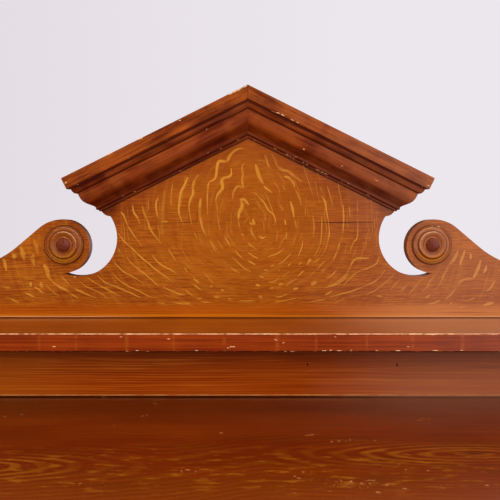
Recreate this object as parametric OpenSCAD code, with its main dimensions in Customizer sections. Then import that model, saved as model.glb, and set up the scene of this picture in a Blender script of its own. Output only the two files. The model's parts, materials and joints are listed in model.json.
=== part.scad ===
// Kitchen dresser: two drawers over two panelled doors, and a gallery with a scrolled pediment.
// Millimetres. The floor is z = 0, the front faces -Y and the centre of the whole box is x = y = 0.

/* [Carcase] */
// Width of the carcase over its end boards
case_w = 1260; // [1150:10:1500]
// Depth of the carcase from the face of its frame to its back
case_d = 480; // [430:10:560]
// Height of the worktop's upper face above the floor
work_h = 900; // [840:10:980]
// Thickness of the end boards
end_t = 22; // [18:1:28]
// Thickness of the partition between the two cupboards
partition_t = 18; // [14:1:22]
// Thickness of the bottom board and of the cupboard shelves
inner_t = 18; // [14:1:24]
// Thickness of the back boards
back_t = 12; // [9:1:16]
// Number of back boards
back_n = 8; // [5:1:12]
// Depth of each cupboard shelf from the back
cupboard_shelf_d = 300; // [220:10:340]
// Height of the cupboard shelves above the bottom board
cupboard_shelf_h = 265; // [200:5:320]

/* [Worktop] */
// Thickness of the worktop
top_t = 24; // [20:1:32]
// Reach of the worktop in front of the carcase
top_lip = 22; // [10:1:35]
// Reach of the worktop past each end of the carcase
top_side = 26; // [20:1:40]
// Radius of the rounded edges of the worktop
nose_r = 6; // [2:0.5:9]

/* [Face frame] */
// Thickness of the face frame, the drawer fronts' housing and the doors
frame_t = 22; // [19:1:28]
// Width of the outer stiles of the face frame
stile_w = 50; // [44:1:70]
// Width of the upright between the two doors and the two drawers
muntin_w = 50; // [46:1:70]
// Height of the rails above and below the drawers
rail_h = 28; // [22:1:40]
// Depth of the rails above and below the drawers, front to back
rail_d = 64; // [56:1:90]
// Height of the drawer openings
drawer_open_h = 135; // [110:5:170]
// Height of the bottom rail that shows above the plinth
bottom_rail_show = 30; // [20:1:50]
// Height of the bottom rail that the plinth covers
bottom_rail_hide = 30; // [15:1:45]
// Length of the tenons of the face frame
frame_tenon = 20; // [12:1:30]

/* [Plinth] */
// Height of the plinth
plinth_h = 90; // [70:5:120]
// Thickness of the plinth boards
plinth_t = 16; // [12:1:20]
// Radius of the rounded upper edge of the plinth
plinth_r = 10; // [4:1:11]

/* [Drawers] */
// Gap between a drawer front and its opening
drawer_gap = 1.2; // [0.8:0.1:2.5]
// Thickness of the drawer fronts
drawer_front_t = 20; // [17:1:21]
// Thickness of the drawer sides
drawer_side_t = 12; // [9:1:16]
// Thickness of the drawer bottoms
drawer_bottom_t = 7; // [5:0.5:9]
// Wood left in front of the dovetails
dovetail_lap = 6; // [4:0.5:8]
// Number of dovetails on each corner of a drawer
dovetail_n = 3; // [2:1:4]
// Space behind a closed drawer
drawer_rear_gap = 14; // [8:1:40]
// Distance of each drawer knob from the end of its drawer front
drawer_knob_in = 125; // [70:5:200]

/* [Doors] */
// Gap between a door and its opening
door_gap = 1.5; // [1:0.1:2.5]
// Width of the stiles of the doors
door_stile_w = 72; // [60:1:95]
// Height of the top rail of the doors
door_top_rail = 72; // [60:1:100]
// Height of the bottom rail of the doors
door_bottom_rail = 88; // [70:1:120]
// Thickness of the door panels
panel_t = 8; // [6:0.5:10]
// Depth of the grooves that hold the door panels
panel_groove = 9; // [6:0.5:12]
// Width of the planted moulding round each panel
bead_w = 16; // [10:1:24]
// Length of the tenons of the doors
door_tenon = 34; // [20:1:45]
// Height of the door knobs above the middle of the doors
door_knob_up = 28; // [-60:2:90]

/* [Hinges and catches] */
// Length of each butt hinge
hinge_l = 64; // [50:1:90]
// Outer radius of the hinge knuckles
knuckle_r = 4.5; // [4:0.1:5.5]
// Radius of the hinge pins
pin_r = 2; // [1.5:0.1:2.5]
// Distance of the hinge pins in front of the face frame
pin_out = 3.2; // [2.6:0.1:4]
// Thickness of the hinge leaves
leaf_t = 1.6; // [1.2:0.1:2]
// Depth that the hinge leaves reach into the door and the frame
leaf_d = 17; // [12:1:18]
// Distance of the hinges from the upper and lower ends of the door
hinge_in = 90; // [60:5:140]
// Radius of the spindle of each turning catch
spindle_r = 4.5; // [3:0.5:6]
// Length of the catch tongue beyond the edge of its door
catch_bite = 11; // [6:0.5:13]
// Width of the catch tongue
catch_w = 15; // [12:1:20]
// Thickness of the catch tongue
catch_t = 4; // [3:0.5:6]

/* [Knobs] */
// Radius of the turned knobs
knob_r = 21; // [16:0.5:26]
// Distance that the turned knobs stand out
knob_stand = 36; // [30:1:45]
// Radius of the neck of the turned knobs
knob_neck_r = 10; // [8:0.5:12]

/* [Gallery] */
// Width of the gallery
gallery_w = 1240; // [1060:10:1310]
// Thickness of the boards of the gallery
gallery_t = 22; // [18:1:26]
// Height of the upstand between the worktop and the gallery shelf
upstand_h = 85; // [70:1:120]
// Thickness of the gallery shelf
shelf_t = 22; // [18:1:28]
// Reach of the gallery shelf in front of the gallery boards
shelf_reach = 131; // [100:1:180]
// Reach of the shelf past the outer face of each bracket
shelf_past = 14; // [6:1:40]
// Distance of the brackets' front edges behind the front of the shelf
bracket_back = 12; // [6:1:30]
// Radius of the hollow in the front edge of each bracket
bracket_hollow_r = 46; // [36:1:60]

/* [Pediment] */
// Width of the raking mouldings over their outer corners
pediment_w = 485; // [440:5:560]
// Height of the point of the pediment above the gallery shelf
apex_h = 306; // [285:1:340]
// Slope of the pediment in degrees
rake = 26.4; // [24:0.2:30]
// Height above the shelf of the joint between the two gallery boards
board_joint_h = 128; // [118:1:130]
// Height of the low ends of the gallery board
tail_h = 68; // [58:1:76]
// Radius of the crescent openings
crescent_r = 51.5; // [46:0.5:54]
// Angle at which each crescent meets the shoulder of the pediment
crescent_turn = 33.7; // [28:0.5:38]
// Radius of the small shoulder under each end of the mouldings
shoulder_r = 13.4; // [9:0.2:15]
// Radius of the scrolls
scroll_r = 36; // [32:0.5:38]
// Distance of each scroll's centre outside the centre of its crescent
scroll_out = 21.5; // [19:0.5:24]
// Distance of each scroll's centre below the centre of its crescent
scroll_drop = 11.5; // [8:0.5:13]
// Radius of the outer curve that leaves the top of each scroll
ogee_r = 47; // [42:1:56]
// Slope of the straight part of the tail in degrees
ogee_slope = 40; // [36:1:44]
// Radius of the hollow where the tail flattens
tail_r = 115; // [90:5:140]

/* [Crown moulding] */
// Reach of the raking moulding in front of the gallery board
crown_out = 24; // [20:0.5:28]
// Height of the top fillet of the moulding
crown_fillet = 16; // [13:0.5:18]
// Height of the rounded member under the fillet
crown_round = 8.5; // [7:0.5:11]
// Height of the double curve of the moulding
crown_cyma = 28.5; // [24:0.5:32]
// Height of the thin fillet at the foot of the moulding
crown_foot = 3; // [2:0.5:5]

/* [Roundels] */
// Radius of the turned roundels on the scrolls
roundel_r = 26.5; // [22:0.5:29]
// Distance that the roundels stand out
roundel_stand = 13; // [10:0.5:16]
// Radius of the raised middle of the roundels
roundel_step_r = 17.5; // [15:0.5:19]
// Radius of the button in the middle of the roundels
roundel_button_r = 9.4; // [8:0.2:11]

/* [Back cleats] */
// Width of the upright cleats behind the gallery
cleat_w = 45; // [35:1:60]
// Thickness of the cleats
cleat_t = 16; // [12:1:20]
// Distance of the middle of each cleat from the centre line
cleat_x = 120; // [90:5:150]
// Length of the cleats above the gallery shelf
cleat_up = 205; // [180:5:215]
// Length of the cleats below the worktop's upper face
cleat_down = 190; // [150:5:260]
// Radius of the screws
screw_r = 2.2; // [1.6:0.1:2.5]

/* [Hidden] */
$fn = 96;

// Clearances
seat = 0.3;
slack = 0.3;
turn_gap = 0.05;
mitre_gap = 0.1;
over = 1;

// Colours of the finishes
grained = "peru";
dark = "sienna";
bare = "burlywood";
iron = "dimgray";
brass = "goldenrod";

// Front and back: the knobs, the carcase and the cleats fill the depth of the whole box
deep = knob_stand + case_d + cleat_t;
front_y = knob_stand - deep / 2;
back_y = front_y + case_d;
frame_back = front_y + frame_t;
lining_back = back_y - back_t;

// Widths measured out from the centre line
half_w = case_w / 2;
end_in = half_w - end_t;
open_in = muntin_w / 2;
open_out = half_w - stile_w;
open_w = open_out - open_in;
part_x = partition_t / 2;

// Heights
case_h = work_h - top_t;
drawer_top = case_h - rail_h;
drawer_low = drawer_top - drawer_open_h;
door_top = drawer_low - rail_h;
door_low = plinth_h + bottom_rail_show;
bottom_rail_low = plinth_h - bottom_rail_hide;
floor_rise = 8;
floor_top = door_low + floor_rise;
floor_low = floor_top - inner_t;
housing = 6;
inner_shelf_top = floor_top + cupboard_shelf_h;
inner_shelf_low = inner_shelf_top - inner_t;
shelf_low = work_h + upstand_h;
shelf_top = shelf_low + shelf_t;
gallery_y = back_y - gallery_t;

// Tenons of the face frame: shoulders on the front and back faces and on the edges
tenon_front = frame_t * 0.3;
tenon_t = frame_t * 0.4;
tenon_edge = 4;

// Runners, guides and kickers
runner_h = 30;
runner_reach = 20;
guide_h = 25;
stop_l = 34;
stop_h = 5;
stop_d = 22;

// Drawers
drawer_w = open_w - 2 * drawer_gap;
drawer_x = (open_in + open_out) / 2;
drawer_front_low = drawer_low + drawer_gap;
drawer_front_top = drawer_top - drawer_gap;
drawer_side_low = drawer_low + slack;
drawer_side_drop = 2;
drawer_side_top = drawer_front_top - drawer_side_drop;
drawer_end_y = lining_back - drawer_rear_gap;
drawer_back_t = drawer_side_t;
drawer_back_in = 6;
drawer_back_drop = 6;
drawer_back_y = drawer_end_y - drawer_back_t - drawer_back_in;
drawer_groove = 5;
drawer_bottom_up = 11;
drawer_bottom_low = drawer_side_low + drawer_bottom_up;
drawer_bottom_top = drawer_bottom_low + drawer_bottom_t;
tail_flare = 2.5;
spigot_r = 7;
button_spigot_r = 6;
button_spigot_l = 12;

// Doors
door_w = open_w - 2 * door_gap;
door_h = door_top - door_low - 2 * door_gap;
door_z = door_low + door_gap;
door_in = open_in + door_gap;
door_out = open_out - door_gap;
door_tenon_edge = 14;
sight_low = door_z + door_bottom_rail;
sight_top = door_z + door_h - door_top_rail;
panel_front = front_y + 0.45 * frame_t;
panel_slack = 0.5;
knob_z = door_z + door_h / 2 + door_knob_up;
knob_in = door_stile_w / 2;
knob_x = open_in + door_gap + knob_in;
catch_l = knob_in + door_gap + catch_bite;
catch_y = frame_back + 0.6;
hinge_x = open_out - door_gap / 2;
hinge_y = front_y - pin_out;
hinge_places = [door_z + hinge_in, door_z + door_h - hinge_in];
knuckle_n = 5;
knuckle_l = hinge_l / knuckle_n;

// Pediment outline, in the plane of the gallery boards with z = 0 at the top of the shelf
gallery_half = gallery_w / 2;
rake_l = pediment_w / 2 / cos(rake);
crown_step = 1.5;
crown_lip = 3;
crown_h = crown_fillet + crown_round + 2 * crown_step + crown_cyma + crown_foot;
cyma_h = crown_cyma - crown_lip;
eave_x = (rake_l - crown_out) * cos(rake);
eave_z = apex_h - (rake_l - crown_out) * sin(rake);
heel_x = eave_x - crown_h * sin(rake);
heel_z = eave_z - crown_h * cos(rake);
shoulder_x = heel_x - shoulder_r * cos(rake);
shoulder_z = heel_z + shoulder_r * sin(rake);
shoulder_low = shoulder_z - shoulder_r;
crescent_x = shoulder_x + crescent_r * cos(crescent_turn);
crescent_z = shoulder_low - crescent_r * sin(crescent_turn);
scroll_x = crescent_x + scroll_out;
scroll_z = crescent_z - scroll_drop;
roundel_in = 2.8;
roundel_up = 2.5;
roundel_x = scroll_x - roundel_in;
roundel_z = scroll_z + roundel_up;
ogee_z = scroll_z + scroll_r - ogee_r;
slope_x = scroll_x + ogee_r * sin(ogee_slope);
slope_z = ogee_z + ogee_r * cos(ogee_slope);
hollow_z = tail_h + tail_r * (1 - cos(ogee_slope));
hollow_x = slope_x + (slope_z - hollow_z) / tan(ogee_slope);
flat_x = hollow_x + tail_r * sin(ogee_slope);
tail_end_r = 24;

// Screws of the cleats: heights above the worktop's upper face
cleat_screw_l = 25;
cleat_screw_in = 22;
cleat_screw_next = 90;
gallery_foot = upstand_h + shelf_t;
cleat_screw_z = [
    -cleat_down + cleat_screw_in,
    -cleat_down + cleat_screw_in + cleat_screw_next,
    upstand_h / 2,
    gallery_foot + 2 * cleat_screw_in,
    gallery_foot + board_joint_h - cleat_screw_in,
    gallery_foot + board_joint_h + cleat_screw_in,
    gallery_foot + cleat_up - cleat_screw_in
];
top_screw_l = rail_h + top_t / 2;
top_screw_in = 100;
top_screw_y = [front_y + rail_d + top_screw_in, lining_back - top_screw_in];

// Position along the smooth step from 0 to 1
function ease(t) = t * t * (3 - 2 * t);

// Repeats its children on the left of the centre line as well
module both_sides() {
    children();
    mirror([1, 0, 0]) children();
}

// A block from its lowest to its highest corner
module block(low, high) {
    translate(low) cube(high - low);
}

// A flat outline in x and z made into a board of the given thickness, its face at y
module upright_board(y, t) {
    translate([0, y + t, 0]) rotate([90, 0, 0]) linear_extrude(height = t) children();
}

// A flat outline in y and z made into a board of the given thickness, its low face at x
module side_board(x, t) {
    translate([x, 0, 0]) rotate([90, 0, 90]) linear_extrude(height = t) children();
}

// A countersunk wood screw along +Z with the face of its head at z = 0
module screw(l, extra = 0) {
    cylinder(r = screw_r + extra, h = l + 4 * extra);
    translate([0, 0, -extra])
        cylinder(r1 = 2 * screw_r + extra, r2 = screw_r + extra, h = screw_r + 2 * extra);
}

// A knob turned about Y, its seat at y = 0 and its head towards -Y, with a spigot behind
module turned_knob(spigot, spigot_l) {
    head = knob_stand * 0.62;
    rotate([90, 0, 0]) rotate_extrude() polygon([
        [0, -spigot_l],
        [spigot, -spigot_l],
        [spigot, 0],
        [knob_neck_r + 4, 0],
        [knob_neck_r + 4, 2.5],
        [knob_neck_r + 1, 4],
        [knob_neck_r, knob_stand * 0.25],
        [knob_neck_r + 2, knob_stand * 0.36],
        for (i = [0:14]) let (a = -60 + i * 150 / 14)
            [knob_neck_r - 1 + (knob_r - knob_neck_r + 1) * cos(a),
             head + (a < 0 ? head * 0.26 : knob_stand - head) * sin(a)],
        [0, knob_stand]
    ]);
}

// Carcase

module plinth_edge() {
    difference() {
        square([plinth_r + over, plinth_r + over]);
        circle(r = plinth_r);
    }
}

module plinth_front() {
    color(dark) difference() {
        linear_extrude(height = plinth_h) polygon([
            [-half_w - plinth_t, front_y - plinth_t],
            [half_w + plinth_t, front_y - plinth_t],
            [half_w, front_y],
            [-half_w, front_y]
        ]);
        translate([half_w + 2 * plinth_t, front_y - plinth_t + plinth_r, plinth_h - plinth_r])
            rotate([90, 0, -90]) linear_extrude(height = case_w + 4 * plinth_t) plinth_edge();
    }
}

module plinth_ends() {
    color(dark) both_sides() difference() {
        linear_extrude(height = plinth_h) polygon([
            [half_w, front_y],
            [half_w + plinth_t, front_y - plinth_t],
            [half_w + plinth_t, back_y],
            [half_w, back_y]
        ]);
        translate([half_w + plinth_t - plinth_r, back_y + over, plinth_h - plinth_r])
            rotate([90, 0, 0]) linear_extrude(height = case_d + 2 * plinth_t) plinth_edge();
    }
}

module end_board() {
    difference() {
        block([end_in, frame_back, 0], [half_w, back_y, case_h]);
        block([end_in - over, lining_back, floor_low], [half_w - end_t / 2, back_y + over, case_h + over]);
        block(
            [end_in - over, frame_back + seat, floor_low],
            [end_in + housing, lining_back + over, floor_top]
        );
    }
}

module end_left() {
    color(grained) mirror([1, 0, 0]) end_board();
}

module end_right() {
    color(grained) end_board();
}

module bottom_board() {
    color(bare)
        block([-end_in - housing, frame_back + seat, floor_low], [end_in + housing, lining_back, floor_top]);
}

module partition() {
    color(bare) difference() {
        block([-part_x, frame_back, floor_top], [part_x, lining_back, case_h]);
        block(
            [-part_x - over, frame_back - over, drawer_top],
            [part_x + over, front_y + rail_d, case_h + over]
        );
    }
}

// Tenon of a rail, from x = 0 towards +X, for a rail from low to high
module rail_tenon(low, high) {
    block(
        [-over, front_y + tenon_front, low + tenon_edge],
        [frame_tenon, front_y + tenon_front + tenon_t, high - tenon_edge]
    );
}

// Tenon of the muntin, from z = 0 upwards
module muntin_tenon() {
    block(
        [-open_in + 2 * tenon_edge, front_y + tenon_front, -over],
        [open_in - 2 * tenon_edge, front_y + tenon_front + tenon_t, frame_tenon]
    );
}

module stile_mortises() {
    translate([open_out, 0, 0]) {
        rail_tenon(drawer_top, case_h);
        rail_tenon(door_top, drawer_low);
        rail_tenon(bottom_rail_low, door_low);
    }
}

// Recess for one hinge leaf in wood whose edge is at the middle of the gap plus or minus half of it
module leaf_recess(side) {
    for (z = hinge_places) {
        block(
            [side > 0 ? hinge_x : hinge_x - door_gap / 2 - leaf_t, front_y - over, z - hinge_l / 2],
            [side > 0 ? hinge_x + door_gap / 2 + leaf_t : hinge_x, front_y + leaf_d, z + hinge_l / 2]
        );
        translate([hinge_x, hinge_y, z - hinge_l / 2]) cylinder(r = knuckle_r + slack, h = hinge_l);
    }
}

module frame_stiles() {
    color(grained) both_sides() difference() {
        block([open_out, front_y, 0], [half_w, frame_back, case_h]);
        stile_mortises();
        leaf_recess(1);
    }
}

module frame_muntin() {
    color(grained) difference() {
        union() {
            block([-open_in, front_y, door_low], [open_in, frame_back, drawer_top]);
            translate([0, 0, drawer_top]) muntin_tenon();
            translate([0, 0, door_low]) mirror([0, 0, 1]) muntin_tenon();
        }
        both_sides() translate([open_in, 0, 0]) mirror([1, 0, 0]) rail_tenon(door_top, drawer_low);
    }
}

module rail_top() {
    color(grained) difference() {
        union() {
            block([-open_out, front_y, drawer_top], [open_out, frame_back, case_h]);
            block([-end_in, frame_back, drawer_top], [end_in, front_y + rail_d, case_h]);
            both_sides() translate([open_out, 0, 0]) rail_tenon(drawer_top, case_h);
        }
        translate([0, 0, drawer_top]) muntin_tenon();
    }
}

module rail_mid() {
    color(grained) both_sides() {
        block([open_in, front_y, door_top], [open_out, frame_back, drawer_low]);
        block([part_x, frame_back, door_top], [end_in, front_y + rail_d, drawer_low]);
        translate([open_out, 0, 0]) rail_tenon(door_top, drawer_low);
        translate([open_in, 0, 0]) mirror([1, 0, 0]) rail_tenon(door_top, drawer_low);
    }
}

module rail_bottom() {
    color(grained) difference() {
        union() {
            block([-open_out, front_y, bottom_rail_low], [open_out, frame_back, door_low]);
            both_sides() translate([open_out, 0, 0]) rail_tenon(bottom_rail_low, door_low);
        }
        translate([0, 0, door_low]) mirror([0, 0, 1]) muntin_tenon();
    }
}

// The four bars under, beside or above the drawer sides, two for each drawer
module drawer_bars(low, high, reach) {
    both_sides() {
        block([open_out - reach, front_y + rail_d, low], [end_in, lining_back, high]);
        block([part_x, front_y + rail_d, low], [open_in + reach, lining_back, high]);
    }
}

module drawer_runners() {
    color(bare) drawer_bars(drawer_low - runner_h, drawer_low, runner_reach);
}

module drawer_guides() {
    color(bare) drawer_bars(drawer_low, drawer_low + guide_h, 0);
}

module top_screws(extra = 0) {
    both_sides() for (x = [(open_out - runner_reach + end_in) / 2, (part_x + open_in + runner_reach) / 2])
        for (y = top_screw_y)
            translate([x, y, drawer_top]) screw(top_screw_l, extra);
}

module drawer_kickers() {
    color(bare) difference() {
        drawer_bars(drawer_top, case_h, runner_reach);
        top_screws(turn_gap);
    }
}

module drawer_stops() {
    color(bare) both_sides() for (x = [open_in + open_w * 0.25, open_in + open_w * 0.75])
        block(
            [x - stop_l / 2, front_y + drawer_front_t + seat, drawer_low],
            [x + stop_l / 2, front_y + drawer_front_t + seat + stop_d, drawer_low + stop_h]
        );
}

module cupboard_shelves() {
    color(bare) both_sides()
        block(
            [part_x, lining_back - cupboard_shelf_d, inner_shelf_low],
            [end_in, lining_back, inner_shelf_top]
        );
}

module shelf_bearers() {
    bearer_w = 18;
    bearer_h = 26;
    bearer_in = 20;
    color(bare) both_sides() for (x = [part_x, end_in - bearer_w])
        block(
            [x, lining_back - cupboard_shelf_d + bearer_in, inner_shelf_low - bearer_h],
            [x + bearer_w, lining_back, inner_shelf_low]
        );
}

// Tongued and grooved upright boards
module back_boards() {
    span = case_w - end_t;
    board_w = span / back_n;
    tongue = 5;
    tongue_t = back_t / 3;
    color(bare) difference() {
        for (i = [0:back_n - 1])
            translate([-span / 2 + i * board_w, lining_back, floor_low]) difference() {
                union() {
                    cube([board_w, back_t, case_h - floor_low]);
                    if (i < back_n - 1)
                        translate([board_w - over, tongue_t, 0])
                            cube([tongue + over, tongue_t, case_h - floor_low]);
                }
                if (i > 0)
                    translate([-over, tongue_t, -over])
                        cube([tongue + slack + over, tongue_t, case_h - floor_low + 2 * over]);
            }
        cleat_screws_at(turn_gap);
    }
}

module glue_blocks() {
    block_w = 28;
    block_l = 60;
    color(bare) for (x = [-0.75, -0.25, 0.25, 0.75])
        translate([x * open_out - block_l / 2, frame_back, floor_low]) rotate([90, 0, 90])
            linear_extrude(height = block_l) polygon([[0, 0], [0, -block_w], [block_w, 0]]);
}

// Outline of a board edge with rounded corners at the end x = 0
module nosed(l, t, r) {
    union() {
        translate([r, 0]) square([l - r, t]);
        translate([0, r]) square([l, t - 2 * r]);
        translate([r, r]) circle(r = r);
        translate([r, t - r]) circle(r = r);
    }
}

module worktop() {
    lip_y = front_y - top_lip;
    long = half_w + top_side;
    color(dark) difference() {
        intersection() {
            side_board(-long, 2 * long) translate([lip_y, case_h]) nosed(back_y - lip_y, top_t, nose_r);
            upright_board(lip_y, back_y - lip_y) both_sides()
                translate([long, case_h]) mirror([1, 0]) nosed(long + over, top_t, nose_r);
        }
        top_screws(turn_gap);
    }
}

module worktop_screws() {
    color(iron) top_screws();
}

// Hinges

// One leaf of every hinge: side 1 is let into the frame, side -1 into the door
module hinge_leaf(side) {
    first = side > 0 ? 0 : 1;
    for (z = hinge_places) translate([hinge_x, hinge_y, z - hinge_l / 2]) difference() {
        union() {
            difference() {
                block(
                    [side > 0 ? door_gap / 2 : -door_gap / 2 - leaf_t, 0, 0],
                    [side > 0 ? door_gap / 2 + leaf_t : -door_gap / 2, leaf_d + pin_out, hinge_l]
                );
                translate([0, 0, -over]) cylinder(r = knuckle_r + slack, h = hinge_l + 2 * over);
            }
            for (i = [first:2:knuckle_n - 1]) translate([0, 0, i * knuckle_l + slack / 2]) {
                cylinder(r = knuckle_r, h = knuckle_l - slack);
                block(
                    [side > 0 ? door_gap / 2 : -door_gap / 2 - leaf_t, 0, 0],
                    [side > 0 ? door_gap / 2 + leaf_t : -door_gap / 2, knuckle_r + over, knuckle_l - slack]
                );
            }
        }
        translate([0, 0, -over]) cylinder(r = pin_r + turn_gap, h = hinge_l + 2 * over);
    }
}

module frame_hinge_leaves() {
    color(brass) both_sides() hinge_leaf(1);
}

module hinge_pins() {
    color(brass) both_sides() for (z = hinge_places)
        translate([hinge_x, hinge_y, z - hinge_l / 2]) cylinder(r = pin_r, h = hinge_l);
}

// Gallery

module upstand_board() {
    color(grained) difference() {
        block([-gallery_half, gallery_y, work_h], [gallery_half, back_y, shelf_low]);
        cleat_screws_at(turn_gap);
    }
}

module gallery_shelf() {
    color(dark) block(
        [-gallery_half, gallery_y - shelf_reach, shelf_low],
        [gallery_half, back_y, shelf_top]
    );
}

module shelf_brackets() {
    deep_at_top = shelf_reach - bracket_back;
    hollow_up = upstand_h * 0.36;
    color(grained) both_sides() side_board(gallery_half - shelf_past - gallery_t, gallery_t)
        translate([gallery_y, work_h]) difference() {
            translate([-deep_at_top, 0]) square([deep_at_top, upstand_h]);
            translate([-deep_at_top - bracket_hollow_r * 0.15, hollow_up]) circle(r = bracket_hollow_r);
            translate([-deep_at_top - over, -over]) square([deep_at_top * 0.2 + over, hollow_up + over]);
        }
}

// Right half of the low board, up to the joint, with its crescent, scroll and tail
module tail_outline() {
    difference() {
        polygon([
            [0, 0],
            [0, board_joint_h],
            [shoulder_x, board_joint_h],
            for (i = [1:8]) let (a = ogee_slope * i / 8)
                [scroll_x + ogee_r * sin(a), ogee_z + ogee_r * cos(a)],
            for (i = [0:10]) let (a = ogee_slope * (1 - i / 10))
                [flat_x - tail_r * sin(a), tail_h + tail_r * (1 - cos(a))],
            for (i = [0:6]) let (a = i * 15)
                [gallery_half - tail_end_r * (1 - sin(a)), tail_h - tail_end_r * (1 - cos(a))],
            [gallery_half, 0]
        ]);
        difference() {
            intersection() {
                translate([crescent_x, crescent_z]) circle(r = crescent_r);
                square([scroll_x, apex_h]);
            }
            translate([scroll_x, scroll_z]) circle(r = scroll_r);
        }
    }
}

// The upper board's corners on the right, from the joint up
upper_corners = [
    [crescent_x, board_joint_h],
    [shoulder_x, shoulder_z],
    [heel_x, heel_z],
    [eave_x, eave_z]
];

// Pointed upper part behind the mouldings
module point_outline() {
    difference() {
        polygon([
            for (p = upper_corners) p,
            [0, apex_h],
            for (i = [len(upper_corners) - 1 : -1 : 0]) [-upper_corners[i][0], upper_corners[i][1]]
        ]);
        translate([crescent_x, crescent_z]) circle(r = crescent_r);
        translate([-crescent_x, crescent_z]) circle(r = crescent_r);
    }
    translate([shoulder_x, shoulder_z]) circle(r = shoulder_r);
    translate([-shoulder_x, shoulder_z]) circle(r = shoulder_r);
}

module board_holes() {
    both_sides() translate([roundel_x, gallery_y - over, shelf_top + roundel_z]) rotate([-90, 0, 0])
        cylinder(r = button_spigot_r + turn_gap, h = button_spigot_l + slack + over);
    cleat_screws_at(turn_gap);
}

module gallery_board_lower() {
    color(grained) difference() {
        translate([0, 0, shelf_top]) upright_board(gallery_y, gallery_t) {
            tail_outline();
            mirror([1, 0]) tail_outline();
        }
        board_holes();
    }
}

module gallery_board_upper() {
    color(grained) difference() {
        translate([0, 0, shelf_top]) upright_board(gallery_y, gallery_t) point_outline();
        board_holes();
    }
}

// Section of the raking moulding: x is the reach, y the height down from the top
function crown_points() = let (
    round_top = crown_fillet + crown_step,
    cyma_top = round_top + crown_round + crown_step,
    lip_top = cyma_top + cyma_h,
    lip_foot = lip_top + crown_lip,
    round_out = crown_out * 0.83,
    round_in = crown_out * 0.66,
    cyma_out = crown_out * 0.63,
    cyma_in = crown_out * 0.16,
    foot_out = crown_out * 0.1
) [
    [0, 0],
    [crown_out, 0],
    [crown_out, crown_fillet],
    [round_out, crown_fillet + crown_step * 0.4],
    for (i = [0:6]) let (a = i * 15)
        [round_in + (round_out - round_in) * cos(a), round_top + crown_round * sin(a)],
    [cyma_out, cyma_top - crown_step * 0.6],
    for (i = [0:12]) let (t = i / 12)
        [cyma_out - (cyma_out - cyma_in) * ease(pow(t, 1.8)), cyma_top + cyma_h * t],
    [cyma_in + crown_lip * 0.25, lip_top + crown_lip * 0.3],
    [cyma_in + crown_lip * 0.25, lip_foot - crown_lip * 0.3],
    [cyma_in, lip_foot],
    [foot_out, lip_foot],
    [foot_out, lip_foot + crown_foot],
    [0, lip_foot + crown_foot]
];

module crown_section() {
    polygon([for (p = crown_points()) [-p[0], -p[1]]]);
}

// Places its children on the right slope of the pediment: x runs down the slope from the point
module on_slope() {
    translate([0, gallery_y, shelf_top + apex_h]) rotate([0, rake, 0]) children();
}

module crown_run() {
    difference() {
        on_slope() intersection() {
            translate([-crown_h, 0, 0]) side_board(0, rake_l + crown_h + crown_out) crown_section();
            translate([0, 0, -2 * crown_h]) linear_extrude(height = 3 * crown_h) polygon([
                [-crown_h - over, 0],
                [rake_l - crown_out, 0],
                [rake_l + over, -crown_out - over],
                [-crown_h - over, -crown_out - over]
            ]);
        }
        block(
            [-pediment_w, gallery_y - crown_out - over, shelf_top],
            [0, gallery_y + over, shelf_top + 2 * apex_h]
        );
    }
}

module crown_left() {
    color(dark) mirror([1, 0, 0]) crown_run();
}

module crown_right() {
    color(dark) crown_run();
}

module crown_returns() {
    color(dark) both_sides() on_slope() intersection() {
        translate([rake_l - crown_out, gallery_t, 0]) mirror([1, 0, 0]) rotate([90, 0, 0])
            linear_extrude(height = gallery_t + crown_out + over) crown_section();
        translate([0, 0, -2 * crown_h]) linear_extrude(height = 3 * crown_h) polygon([
            [rake_l - crown_out, 0],
            [rake_l + over, -crown_out - over],
            [rake_l + over, gallery_t + over],
            [rake_l - crown_out, gallery_t + over]
        ]);
    }
}

// A flat turned boss, facing -Y, with a spigot behind: a low border, a groove, a dished middle and a button
module roundel() {
    base = roundel_stand * 0.32;
    rim = roundel_stand * 0.66;
    dish = roundel_stand * 0.5;
    groove_r = roundel_r * 0.88;
    translate([roundel_x, gallery_y, shelf_top + roundel_z]) rotate([90, 0, 0]) rotate_extrude() polygon([
        [0, -button_spigot_l],
        [button_spigot_r, -button_spigot_l],
        [button_spigot_r, 0],
        [roundel_r, 0],
        [roundel_r, base * 0.5],
        [roundel_r - 0.8, base * 0.9],
        [groove_r + 0.9, base],
        [groove_r, base * 0.55],
        [groove_r - 0.9, base],
        for (i = [0:5]) let (a = i * 18)
            [
                roundel_step_r + (groove_r - 2 - roundel_step_r) * (1 - sin(a)),
                base + (rim - base) * 0.6 * (1 - cos(a))
            ],
        [roundel_step_r, rim - 0.5],
        [roundel_step_r - 0.6, rim],
        for (i = [1:4]) let (t = i / 4)
            [
                roundel_step_r - 1.6 - (roundel_step_r - roundel_button_r - 3) * t,
                rim - (rim - dish) * ease(t)
            ],
        [roundel_button_r + 0.4, dish - 0.4],
        for (i = [0:9]) let (a = i * 10)
            [roundel_button_r * cos(a), rim - 0.8 + (roundel_stand - rim + 0.8) * sin(a)]
    ]);
}

module roundel_left() {
    color(dark) mirror([1, 0, 0]) roundel();
}

module roundel_right() {
    color(dark) roundel();
}

module back_cleats() {
    color(bare) difference() {
        both_sides() block(
            [cleat_x - cleat_w / 2, back_y, work_h - cleat_down],
            [cleat_x + cleat_w / 2, back_y + cleat_t, shelf_top + cleat_up]
        );
        cleat_screws_at(turn_gap);
    }
}

module cleat_screws_at(extra = 0) {
    both_sides() for (z = cleat_screw_z)
        translate([cleat_x, back_y + cleat_t, work_h + z]) rotate([90, 0, 0]) screw(cleat_screw_l, extra);
}

module cleat_screws() {
    color(iron) cleat_screws_at();
}

// Drawers, drawn for the right of the centre line

function tail_pitch() = (drawer_side_top - drawer_side_low) / dovetail_n;

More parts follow.
